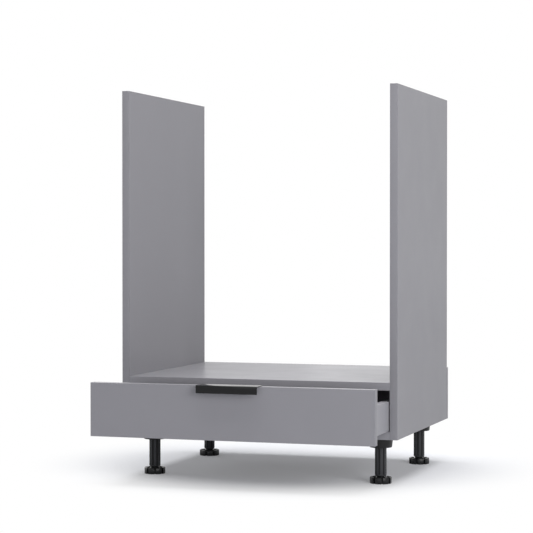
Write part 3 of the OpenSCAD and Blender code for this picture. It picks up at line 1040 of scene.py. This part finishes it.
@dataclass(frozen=True)
class Screw:
    """A wood screw with a cross recess, turned with its point down and its head at Z 0."""

    length: float
    shank: float
    head: float
    head_l: float
    kind: Head = Head.FLAT
    pitch: float = 1.4 * MM
    root_share: float = 0.72
    neck_share: float = 1.02
    run_in: float = 0.6
    run_out: float = 0.9
    turn_shares: Triple = (0.35, 0.45, 0.8)
    point: Outline = ((0.9, 0.8), (0.12, 0.0))
    recess_share: float = 0.56
    blade_share: float = 0.16
    deep_share: float = 0.24
    recess_left: Range = (0.45, 0.6)
    sink_wider: float = 0.12 * MM
    sink_deeper: float = 0.1 * MM

    @property
    def top(self) -> float:
        """The height of the head's top."""
        return self.head_l if self.kind is Head.PAN else 0.0

    def outline(self) -> list[Range]:
        """The radius and height of each point of the screw, from the head to the point."""
        crest, rim = self.shank / 2, self.head / 2
        root = crest * self.root_share
        neck = (root, 0.0) if self.kind is Head.PAN else (crest * self.neck_share, -self.head_l)
        turns = thread(root, crest, self.top - self.head_l - self.run_in * self.pitch,
                       self.run_out * self.shank - self.length, -self.pitch, self.turn_shares)
        return [*((rim * wide, self.head_l * high) for wide, high in self.kind.value), neck,
                *turns, *((root * wide, self.shank * high - self.length)
                          for wide, high in self.point)]

    def pattern(self, name: str) -> Piece:
        """Models the screw once at the origin.

        Args:
            name: The name of the pattern.

        Returns:
            The pattern, which is copied to each place and then dropped.
        """
        screw = turned(name, self.outline(), sides=32)
        for bar in cross_bars(self.head * self.recess_share, self.head * self.blade_share,
                              self.top - self.head * self.deep_share, self.top + PROUD,
                              self.recess_left):
            combine(screw, [bar])
        smooth(screw, under=40.0)
        return screw

    def countersink(self, place: Vector, side: Side) -> Piece:
        """A cutter that lets the head into a board."""
        return peg(place, side, self.shank / 2, self.head_l + self.sink_deeper,
                   mouth=(self.head - self.shank) / 2 + self.sink_wider)


@dataclass
class ScrewSet:
    """All the screws of one CAD node, or some of them, which they replace."""

    node: str
    screw: Screw
    side: Side
    body: str
    look: Look = Look.SCREW_STEEL

    def build(self, shop: FinishShop, boxes: Iterable[Box] | None = None, name: str = "") -> None:
        """Models one screw and copies it to every place.

        Args:
            shop: The finishes.
            boxes: The CAD solids to follow, or None for all of the node's.
            name: What a single screw is called; without it they have numbers.
        """
        pattern = self.screw.pattern(f"{self.node}_pattern")
        for number, box in enumerate(clusters(self.node) if boxes is None else boxes, start=1):
            place = on_face(box, self.side) - self.side.outward * self.screw.top
            screw = copied(pattern, name or f"{self.node}_{number:02d}", place, self.side.turn)
            shop.finish(screw, self.body, self.look, self.node)
        drop(pattern)


@dataclass(frozen=True)
class CamLock:
    """A cast cam lock: a drum with a cross recess and a pointer notch in its open face."""

    radius: float = 7.5 * MM
    rim: float = 0.5 * MM
    well: Outline = ((0.62, -0.25 * MM), (0.66, 0.0))
    waist_deep: float = 0.8 * MM
    waist_shares: tuple[float, ...] = (0.26, 0.30, 0.74, 0.78)
    slot_w: float = 1.7 * MM
    slot_l: float = 9.0 * MM
    slot_deep: float = 2.6 * MM
    pointer_share: float = 0.80
    pointer_r: float = 0.7 * MM
    pointer_deep: float = 0.5 * MM

    def build(self, name: str, box: Box, side: Side, turn: Sequence[float]) -> Piece:
        """Models a lock where the CAD has one.

        Args:
            name: The name of the lock.
            box: The lock's lowest and highest corner.
            side: The side of its open face.
            turn: The angles that turn Z out of that side, and the pointer to its place.

        Returns:
            The lock.
        """
        length = box[1][side.axis] - box[0][side.axis]
        r, rim = self.radius, self.rim
        waist = [(radius, -length * share) for radius, share in zip(
            (r, r - self.waist_deep, r - self.waist_deep, r), self.waist_shares)]
        lock = turned(name, [*((r * share, height) for share, height in self.well), (r - rim, 0.0),
                             (r, -rim), *waist, (r, rim - length), (r - rim, -length)], sides=64)
        bars = cross_bars(self.slot_l, self.slot_w, -self.slot_deep, PROUD)
        pointer = peg(Vector((r * self.pointer_share, 0.0, 0.0)), Side.UPPER, self.pointer_r,
                      self.pointer_deep, sides=3)
        for tool in (*bars, pointer):
            combine(lock, [tool])
        smooth(lock, under=30.0)
        return posed(lock, on_face(box, side), turn)


# Sub-assemblies


@dataclass
class Carcass:
    """Side panels, bottom panel, oven shelf and back panel, with the fittings that join them."""

    shop: FinishShop
    cam_r: float = 7.55 * MM
    back_screw: Screw = Screw(30 * MM, 4.0 * MM, 7.5 * MM, 2.6 * MM)

    def build(self) -> None:
        """Builds the boards and then the fittings."""
        for node in ("side_left", "side_right"):
            Board(node, (Side.FRONT, Side.REAR, Side.UPPER, Side.LOWER)).build(self.shop)
        self.build_cross_boards()
        self.build_back()
        self.shop.dress("cam_bolts", Look.BOLT_STEEL)
        self.shop.dress("dowels", Look.BEECH)

    def build_cross_boards(self) -> None:
        """Builds the bottom panel and the shelf, with their cam locks in bores from below."""
        locks = clusters("cam_locks")
        for node in ("bottom_panel", "oven_shelf"):
            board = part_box(node)
            tools = [peg(on_face(lock, Side.LOWER, board), Side.LOWER, self.cam_r,
                         lock[1].z - lock[0].z)
                     for lock in locks if abs(lock[0].z - board[0].z) < MM]
            Board(node, (Side.FRONT,)).build(self.shop, tools)
        for number, box in enumerate(locks, start=1):
            facing = 0.0 if Hand.RIGHT.holds(box) else math.pi
            lock = CamLock().build(f"cam_lock_{number}", box, Side.LOWER, (math.pi, 0.0, facing))
            self.shop.finish(lock, CARCASS, Look.ZINC, "cam_locks")

    def build_back(self) -> None:
        """Builds the back panel with its countersunk screws."""
        screws, board = clusters("back_screws"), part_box("back_panel")
        tools = [self.back_screw.countersink(on_face(box, Side.REAR, board), Side.REAR)
                 for box in screws]
        Board("back_panel", ALL_ROUND, band_t=0.6 * MM, arris=0.3 * MM).build(self.shop, tools)
        ScrewSet("back_screws", self.back_screw, Side.REAR, CARCASS).build(self.shop, screws)


@dataclass
class Leg:
    """A levelling leg: socket, fluted tube and foot with its threaded stem."""

    corner: str
    shop: FinishShop
    notch_turn: float
    screw: Screw = Screw(14 * MM, 3.0 * MM, 6.0 * MM, 2.0 * MM, Head.PAN, pitch=1.2 * MM)
    socket_longer: float = 5.5 * MM
    socket_low_r: float = 23.2 * MM
    socket_top_r: float = 25.9 * MM
    socket_wall: float = 2.5 * MM
    socket_hole_r: float = 6.0 * MM
    plate_t: float = 3.0 * MM
    hub_r: float = 14.05 * MM
    hub_bore_r: float = 12.05 * MM
    ribs: int = 4
    rib_w: float = 2.0 * MM
    rib_up: float = 0.2 * MM
    rib_bite: float = 1.0 * MM
    groove_w: float = 2.4 * MM
    groove_low_deep: float = 1.6 * MM
    groove_top_deep: float = 1.3 * MM
    groove_end: float = 0.9 * MM
    tube_r: float = 12.0 * MM
    tube_bore_r: float = 9.1 * MM
    tube_hole_r: float = 1.0 * MM
    tube_roof: float = 4.0 * MM
    flutes: int = 8
    flute_r: float = 2.0 * MM
    flute_deep: float = 1.5 * MM
    flute_gap: float = 2.4 * MM
    skin: float = 0.2 * MM
    foot_r: float = 22.5 * MM
    rim_h: float = 13.3 * MM
    dish_r: float = 17.5 * MM
    dish_h: float = 9.5 * MM
    collar_r: float = 10.5 * MM
    stem_r: float = 9.0 * MM
    stem_root_r: float = 8.2 * MM
    stem_gap: float = 0.3 * MM
    thread_pitch: float = 2.5 * MM
    run_out: float = 1.2
    turn_shares: Triple = (0.32, 0.5, 0.82)
    notches: int = 8
    notch_w: float = 4.4 * MM
    notch_deep: float = 5.6 * MM
    notch_arris: float = 0.8 * MM

    def __post_init__(self) -> None:
        """Finds the leg's axis and levels from the CAD."""
        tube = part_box(f"leg_tube_{self.corner}")
        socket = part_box(f"leg_socket_{self.corner}")
        self.axis = Vector((*on_face(tube, Side.LOWER).xy, 0.0))
        self.tube_low, self.tube_high = (corner.z for corner in tube)
        self.socket_low, self.socket_high = (corner.z for corner in socket)
        self.foot_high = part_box(f"foot_{self.corner}")[1].z

    def build(self) -> None:
        """Builds the three parts of the leg and stands them on its axis."""
        for piece, body, look, node in (
                (self.socket(), CARCASS, Look.BLACK_PLASTIC, f"leg_socket_{self.corner}"),
                (self.tube(), CARCASS, Look.TUBE_PLASTIC, f"leg_tube_{self.corner}"),
                (self.foot(), f"foot_{self.corner}", Look.BLACK_PLASTIC, f"foot_{self.corner}")):
            self.shop.finish(posed(piece, self.axis), body, look, node)

    def socket(self) -> Piece:
        """Models the tapered cup with its hub, its ribs inside and its grooves outside.

        Returns:
            The socket, with its axis at the origin.
        """
        low, high = self.socket_low - self.socket_longer, self.socket_high
        low_r, top_r, hub_r, bore_r, hole_r = (
            self.socket_low_r, self.socket_top_r, self.hub_r, self.hub_bore_r, self.socket_hole_r)
        wall, plate = self.socket_wall, high - self.plate_t
        cup = turned(f"leg_socket_{self.corner}_cup", [
            (hole_r, high),
            *near(top_r, high, (-0.4, 0.0), (0.0, -0.5), (-0.3, -2.2)),
            *near(low_r, low, (0.1, 1.0), (-0.2, 0.35), (-0.8, 0.0)),
            *near(low_r - wall, low, (0.3, 0.0), (0.0, 0.4)),
            *near(top_r - wall, plate, (-0.2, -0.6), (-0.8, 0.0)),
            *near(hub_r, plate, (0.5, 0.0), (0.0, -0.5)),
            *near(hub_r, low, (0.0, 0.3), (-0.3, 0.0)),
            *near(bore_r, low, (0.4, 0.0), (0.0, 0.5)),
            (bore_r, plate), (hole_r, plate)], sides=64, ring=True)
        ribs, grooves = [], []
        for turn in angles(self.ribs):
            rib = block("rib", Vector((hub_r - self.rib_bite, -self.rib_w / 2, low + self.rib_up)),
                        Vector((low_r - wall / 2, self.rib_w / 2, plate + self.rib_bite)))
            ribs.append(spun(rib, turn))
            groove = block(
                "groove", Vector((low_r - self.groove_low_deep, -self.groove_w / 2, low - PROUD)),
                Vector((top_r + PROUD, self.groove_w / 2, high - self.groove_end)))
            for vertex in groove.data.vertices:
                if vertex.co.z > plate and vertex.co.x < low_r:
                    vertex.co.x = top_r - self.groove_top_deep
            grooves.append(spun(groove, turn))
        combine(cup, ribs, Work.ADD)
        combine(cup, grooves)
        smooth(cup, under=30.0)
        return cup

    def tube(self) -> Piece:
        """Models the fluted tube with its bore for the stem, and marks the faces of its flutes for
        the painted shade in them.

        Returns:
            The tube, with its axis at the origin.
        """
        low, high, lower = self.tube_low, self.tube_high, self.socket_low
        r, bore_r, hole_r, roof = (
            self.tube_r, self.tube_bore_r, self.tube_hole_r, high - self.tube_roof)
        tube = turned(f"leg_tube_{self.corner}_shell", [
            *near(bore_r, low, (0.0, 0.5), (0.5, 0.0)),
            *near(r, low, (-1.2, 0.0), (-0.35, 0.35), (0.0, 1.2)), (r, lower),
            *near(r, high, (0.0, -0.5), (-0.5, 0.0)),
            (hole_r, high), (hole_r, roof), (bore_r, roof)], sides=96, ring=True)
        start, end = low + self.flute_gap, lower - self.flute_gap
        reach = r + self.flute_r - self.flute_deep
        cutters = []
        for turn in angles(self.flutes):
            put_down()
            bpy.ops.mesh.primitive_cylinder_add(
                vertices=32, radius=self.flute_r, depth=end - start,
                location=(math.cos(turn) * reach, math.sin(turn) * reach, (start + end) / 2))
            cutters.append(settle(bpy.context.object))
        combine(tube, cutters)
        # Faces inside the flutes get 1, where the plastic paints shade.
        shade_faces = tube.data.attributes.new(FLUTE_SHADE_MASK, "FLOAT", "FACE")
        for face, value in zip(tube.data.polygons, shade_faces.data):
            away = math.hypot(face.center.x, face.center.y)
            value.value = float(bore_r + self.skin < away < r - self.skin
                                and start < face.center.z < end)
        smooth(tube, under=24.0)
        return tube

    def foot(self) -> Piece:
        """Models the notched foot, its collar and its threaded stem.

        Returns:
            The foot, with its axis at the origin.
        """
        r, rim, dish_r, dish, collar_r = (
            self.foot_r, self.rim_h, self.dish_r, self.dish_h, self.collar_r)
        root, top, pitch = self.stem_root_r, self.foot_high, self.thread_pitch
        foot = turned(f"foot_{self.corner}_body", [
            *near(r, 0.0, (-1.2, 0.0), (-0.35, 0.35), (0.0, 1.2)),
            *near(r, rim, (0.0, -1.3), (-0.4, -0.4), (-1.3, 0.0)),
            *near(dish_r, rim, (1.2, 0.0), (0.4, -0.4)),
            *near(dish_r, dish, (0.0, 0.8), (-0.8, 0.0)),
            *near(collar_r, dish, (0.6, 0.0), (0.0, 0.5)),
            *near(collar_r, rim, (0.0, -0.6), (-0.5, -0.1)),
            *near(root, rim, (0.0, -0.1)),
            *thread(root, self.stem_r, rim + self.stem_gap, top - self.run_out * pitch, pitch,
                    self.turn_shares),
            *near(root, top, (0.0, -0.8), (-0.8, 0.0))], sides=96)
        cutters = []
        for turn in angles(self.notches, self.notch_turn):
            notch = block("notch", Vector((r - self.notch_deep, -self.notch_w / 2, -PROUD)),
                          Vector((r + PROUD, self.notch_w / 2, rim + PROUD)))
            soften(notch, self.notch_arris, steps=3)
            cutters.append(spun(notch, turn))
        combine(foot, cutters)
        smooth(foot, under=28.0)
        return foot


@dataclass
class Legs:
    """The four legs and the screws of their sockets."""

    shop: FinishShop

    def build(self) -> None:
        """Builds each leg; the front feet are half a notch further round than the rear ones."""
        for corner in ("front_left", "front_right", "rear_left", "rear_right"):
            turn = math.pi / Leg.notches if corner.startswith("front") else 0.0
            Leg(corner, self.shop, turn).build()
        ScrewSet("socket_screws", Leg.screw, Side.LOWER, CARCASS).build(self.shop)


@dataclass
class Runners:
    """Two telescopic runners: rails, rows of balls with their spacers, and screws."""

    shop: FinishShop
    screw: Screw = Screw(9 * MM, 3.5 * MM, 6.4 * MM, 1.2 * MM, pitch=1.3 * MM)

    def build(self) -> None:
        """Dresses the rails and the balls, and models the screws."""
        for hand in Hand:
            for rail in ("cabinet_rail", "middle_rail", "drawer_rail"):
                self.shop.dress(f"{rail}_{hand.word}", Look.RAIL_STEEL)
        for row in ("lower", "upper"):
            self.shop.dress(f"{row}_balls", Look.BALL_STEEL)
            self.shop.dress(f"{row}_spacers", Look.NYLON)
        ScrewSet("cabinet_rail_screws", self.screw, Side.UPPER, CARCASS).build(self.shop)
        ScrewSet("drawer_rail_screws", self.screw, Side.LOWER, DRAWER).build(self.shop)


@dataclass
class Drawer:
    """The drawer box, its front, its joints and its pads."""

    shop: FinishShop
    cam_r: float = 7.55 * MM
    side_screw: Screw = Screw(48 * MM, 5.0 * MM, 9.0 * MM, 3.0 * MM, pitch=2.0 * MM)
    bottom_screw: Screw = Screw(30 * MM, 4.0 * MM, 7.5 * MM, 2.6 * MM)
    pad_arris: float = 0.2 * MM
    pad_dome: Outline = ((1.0, 0.35), (0.96, 0.6), (0.86, 0.82), (0.66, 0.95), (0.35, 1.0))

    def build(self) -> None:
        """Builds the front, then the box and its fittings."""
        Board("drawer_front", ALL_ROUND, DRAWER, Look.FRONT, Look.FRONT_BAND,
              arris=0.6 * MM).build(self.shop)
        self.build_box()
        self.build_fittings()
        self.build_pads()

    def build_box(self) -> None:
        """Builds the sides, the back and the bottom, with the screws that hold them."""
        long, short = [], []
        for box in clusters("drawer_back_screws"):
            (long if box[1].x - box[0].x > self.bottom_screw.length else short).append(box)
        locks = clusters("drawer_cam_locks")
        for hand in Hand:
            node = f"drawer_side_{hand.word}"
            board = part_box(node)
            lock, screw = (next(filter(hand.holds, boxes)) for boxes in (locks, long))
            tools = [peg(on_face(lock, hand.inner, board), hand.inner, self.cam_r,
                         lock[1].x - lock[0].x),
                     self.side_screw.countersink(on_face(screw, hand.outer, board), hand.outer)]
            DrawerBoard(node, (Side.UPPER, Side.LOWER, Side.REAR)).build(self.shop, tools)
            ScrewSet("drawer_back_screws", self.side_screw, hand.outer, DRAWER).build(
                self.shop, [screw], f"drawer_side_screw_{hand.word}")
        DrawerBoard("drawer_back", (Side.UPPER,)).build(self.shop)
        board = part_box("drawer_bottom")
        tools = [self.bottom_screw.countersink(on_face(screw, Side.LOWER, board), Side.LOWER)
                 for screw in short]
        DrawerBoard("drawer_bottom", (Side.REAR,), band_t=0.6 * MM, arris=0.2 * MM).build(
            self.shop, tools)
        ScrewSet("drawer_back_screws", self.bottom_screw, Side.LOWER, DRAWER).build(
            self.shop, short)

    def build_fittings(self) -> None:
        """Models the cam locks of the sides, and dresses what is inside the joints."""
        for box in clusters("drawer_cam_locks"):
            hand = Hand.RIGHT if Hand.RIGHT.holds(box) else Hand.LEFT
            lock = CamLock().build(f"drawer_cam_lock_{hand.word}", box, hand.inner,
                                   (0.0, hand.inner.sign * QUARTER, 0.0))
            self.shop.finish(lock, DRAWER, Look.ZINC, "drawer_cam_locks")
        self.shop.dress("drawer_cam_bolts", Look.BOLT_STEEL)
        self.shop.dress("drawer_dowels", Look.BEECH)

    def build_pads(self) -> None:
        """Models the soft pads behind the front as low domes."""
        boxes = clusters("bumper_pads")
        low, high = boxes[0]
        radius, thick = (high.z - low.z) / 2, high.y - low.y
        pattern = turned("pad_pattern", [
            (radius - self.pad_arris, 0.0), (radius, self.pad_arris),
            *((radius * wide, thick * high) for wide, high in self.pad_dome)])
        smooth(pattern, under=50.0)
        for number, box in enumerate(boxes, start=1):
            pad = copied(pattern, f"bumper_pad_{number}", on_face(box, Side.FRONT),
                         (-QUARTER, 0.0, 0.0))
            self.shop.finish(pad, DRAWER, Look.CLEAR_PAD, "bumper_pads")
        drop(pattern)


@dataclass
class EdgePull:
    """The bent sheet over the front's upper edge, with its two screws."""

    shop: FinishShop
    sheet_t: float = 1.5 * MM
    bend_r: float = 1.3 * MM
    arris: float = 0.35 * MM
    lip: float = 16 * MM
    screw: Screw = Screw(12 * MM, 3.0 * MM, 6.0 * MM, 2.0 * MM, Head.PAN, pitch=1.2 * MM)

    def build(self) -> None:
        """Bends the sheet and sets the screws."""
        low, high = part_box("edge_pull")
        half = self.sheet_t / 2
        start = Vector(((low.x + high.x) / 2, low.y + half, high.z - self.lip))
        put_down()
        bpy.ops.mesh.primitive_plane_add(size=1.0, location=start)
        sheet = bpy.context.object
        sheet.name = "edge_pull_sheet"
        settle(sheet)
        with editing():
            # The plane's outline is brought down to one edge, as long as the pull is wide.
            bpy.ops.mesh.delete(type="ONLY_FACE")
            bpy.ops.mesh.select_all(action="SELECT")
            bpy.ops.transform.resize(value=(high.x - low.x, 0.0, 1.0), center_override=start)
            bpy.ops.mesh.remove_doubles(threshold=MM / 10)
            bpy.ops.mesh.select_all(action="SELECT")
            for step in ((0.0, 0.0, self.lip - half), (0.0, high.y - low.y - self.sheet_t, 0.0),
                         (0.0, 0.0, low.z - high.z + half)):
                bpy.ops.mesh.extrude_edges_move(TRANSFORM_OT_translate={"value": step})
            bpy.ops.mesh.select_all(action="SELECT")
            bpy.ops.mesh.normals_make_consistent(inside=False)
        apply_modifier(sheet, "BEVEL", width=self.bend_r, segments=5, limit_method="ANGLE",
                       angle_limit=math.radians(60))
        apply_modifier(sheet, "SOLIDIFY", thickness=self.sheet_t, offset=0.0,
                       use_even_offset=True)
        soften(sheet, self.arris, sharper_than=60.0)
        smooth(sheet, under=40.0)
        self.shop.finish(sheet, DRAWER, Look.BLACK_METAL, "edge_pull")
        ScrewSet("pull_screws", self.screw, Side.REAR, DRAWER, Look.BLACK_METAL).build(self.shop)


# The studio


@dataclass(frozen=True)
class Softbox:
    """A square area lamp, with its size in metres and its power in watts."""

    name: str
    place: Triple
    size: float
    power: float

    def hang(self, aim: Triple) -> None:
        """Hangs the lamp.

        Args:
            aim: The point that it shines at.
        """
        data = bpy.data.lights.new(self.name, "AREA")
        data.shape, data.size, data.energy = "SQUARE", self.size, self.power
        lamp = bpy.data.objects.new(self.name, data)
        lamp.location = self.place
        away = Vector(aim) - Vector(self.place)
        lamp.rotation_euler = away.to_track_quat("-Z", "Y").to_euler()
        lamp.visible_camera = False
        bpy.context.scene.collection.objects.link(lamp)


@dataclass
class Studio:
    """A plain pale floor under soft lamps, and the camera at the photograph's angle."""

    ambient: float = 0.20
    ambient_colour: Colour = (0.97, 0.98, 1.0)
    floor_tone: Colour = (0.768, 0.778, 0.812)
    floor_half: float = 14.0
    floor_middle: Triple = (-0.0207, 0.1746, 0.0)
    floor_fade: Range = (0.292, 0.61)
    floor_white: Range = (0.147, 1.0)
    eye: Triple = (1.168611, -3.611664, 0.498397)
    tilt: float = 90.0 - 0.8238
    pan: float = 18.2853
    lens: float = 119.60
    sensor: float = 36.0
    aim: Triple = (0.0, 0.0, 0.35)
    lamps: tuple[Softbox, ...] = (
        Softbox("top_softbox", (0.0, 0.0, 2.8), 2.6, 100.0),
        Softbox("right_front_softbox", (2.6, -2.4, 1.2), 1.8, 72.0),
        Softbox("front_softbox", (0.2, -3.6, 1.2), 2.0, 10.0),
        Softbox("left_softbox", (-3.2, 0.0, 1.0), 1.8, 15.0),
        Softbox("rear_left_softbox", (-2.4, 2.4, 1.2), 1.8, 15.0),
        Softbox("rear_softbox", (0.0, 3.4, 1.2), 2.0, 6.0))

    def build(self) -> None:
        """Sets up the camera, the world, the floor and the lamps."""
        bpy.context.scene.view_settings.view_transform = "Standard"
        self.set_camera()
        self.set_world()
        self.set_floor()
        for lamp in self.lamps:
            lamp.hang(self.aim)

    def set_camera(self) -> None:
        """Places the camera that the photograph's perspective gives."""
        camera = bpy.data.objects.new("camera", bpy.data.cameras.new("camera"))
        camera.location = self.eye
        camera.rotation_euler = (math.radians(self.tilt), 0.0, math.radians(self.pan))
        camera.data.lens, camera.data.sensor_width = self.lens, self.sensor
        bpy.context.scene.collection.objects.link(camera)
        bpy.context.scene.camera = camera

    def set_world(self) -> None:
        """Makes the background white to the eye, and a plain soft light to the object."""
        world = bpy.data.worlds.new("studio")
        bpy.context.scene.world = world
        bench = NodeBench(world)
        lit = bench.node("Background", Color=(*self.ambient_colour, 1.0), Strength=self.ambient)
        white = bench.node("Background", Color=WHITE, Strength=1.0)
        bench.show(bench.seen(), lit, white, "OutputWorld")

    def set_floor(self) -> None:
        """Lays a pale floor that keeps the shadow and goes over into the background."""
        put_down()
        bpy.ops.mesh.primitive_grid_add(x_subdivisions=24, y_subdivisions=24,
                                        size=2 * self.floor_half, location=ORIGIN)
        floor = bpy.context.object
        floor.name = "studio_floor"
        material = bpy.data.materials.new("studio_floor")
        bench = NodeBench(material)
        paper = bench.node("BsdfDiffuse", Color=(*self.floor_tone, 1.0))
        white = bench.node("Emission", Color=WHITE)
        place = bench.node("TexCoord").outputs["Object"]
        away = bench.node("VectorMath", place, self.floor_middle, how="DISTANCE").outputs["Value"]
        fade = bench.spread(away, *self.floor_white, *self.floor_fade, curve="SMOOTHSTEP")
        bench.show(bench.joined(fade, bench.seen(), how="MULTIPLY"), paper, white,
                   "OutputMaterial")
        floor.data.materials.append(material)


def main() -> None:
    """Builds the studio and then the cabinet, from the carcass to the pull."""
    logging.basicConfig(level=logging.INFO, format="%(message)s")
    put_down()
    shop = FinishShop()
    Studio().build()
    for assembly in (Carcass, Legs, Runners, Drawer, EdgePull):
        assembly(shop).build()


if __name__ == "__main__":
    main()
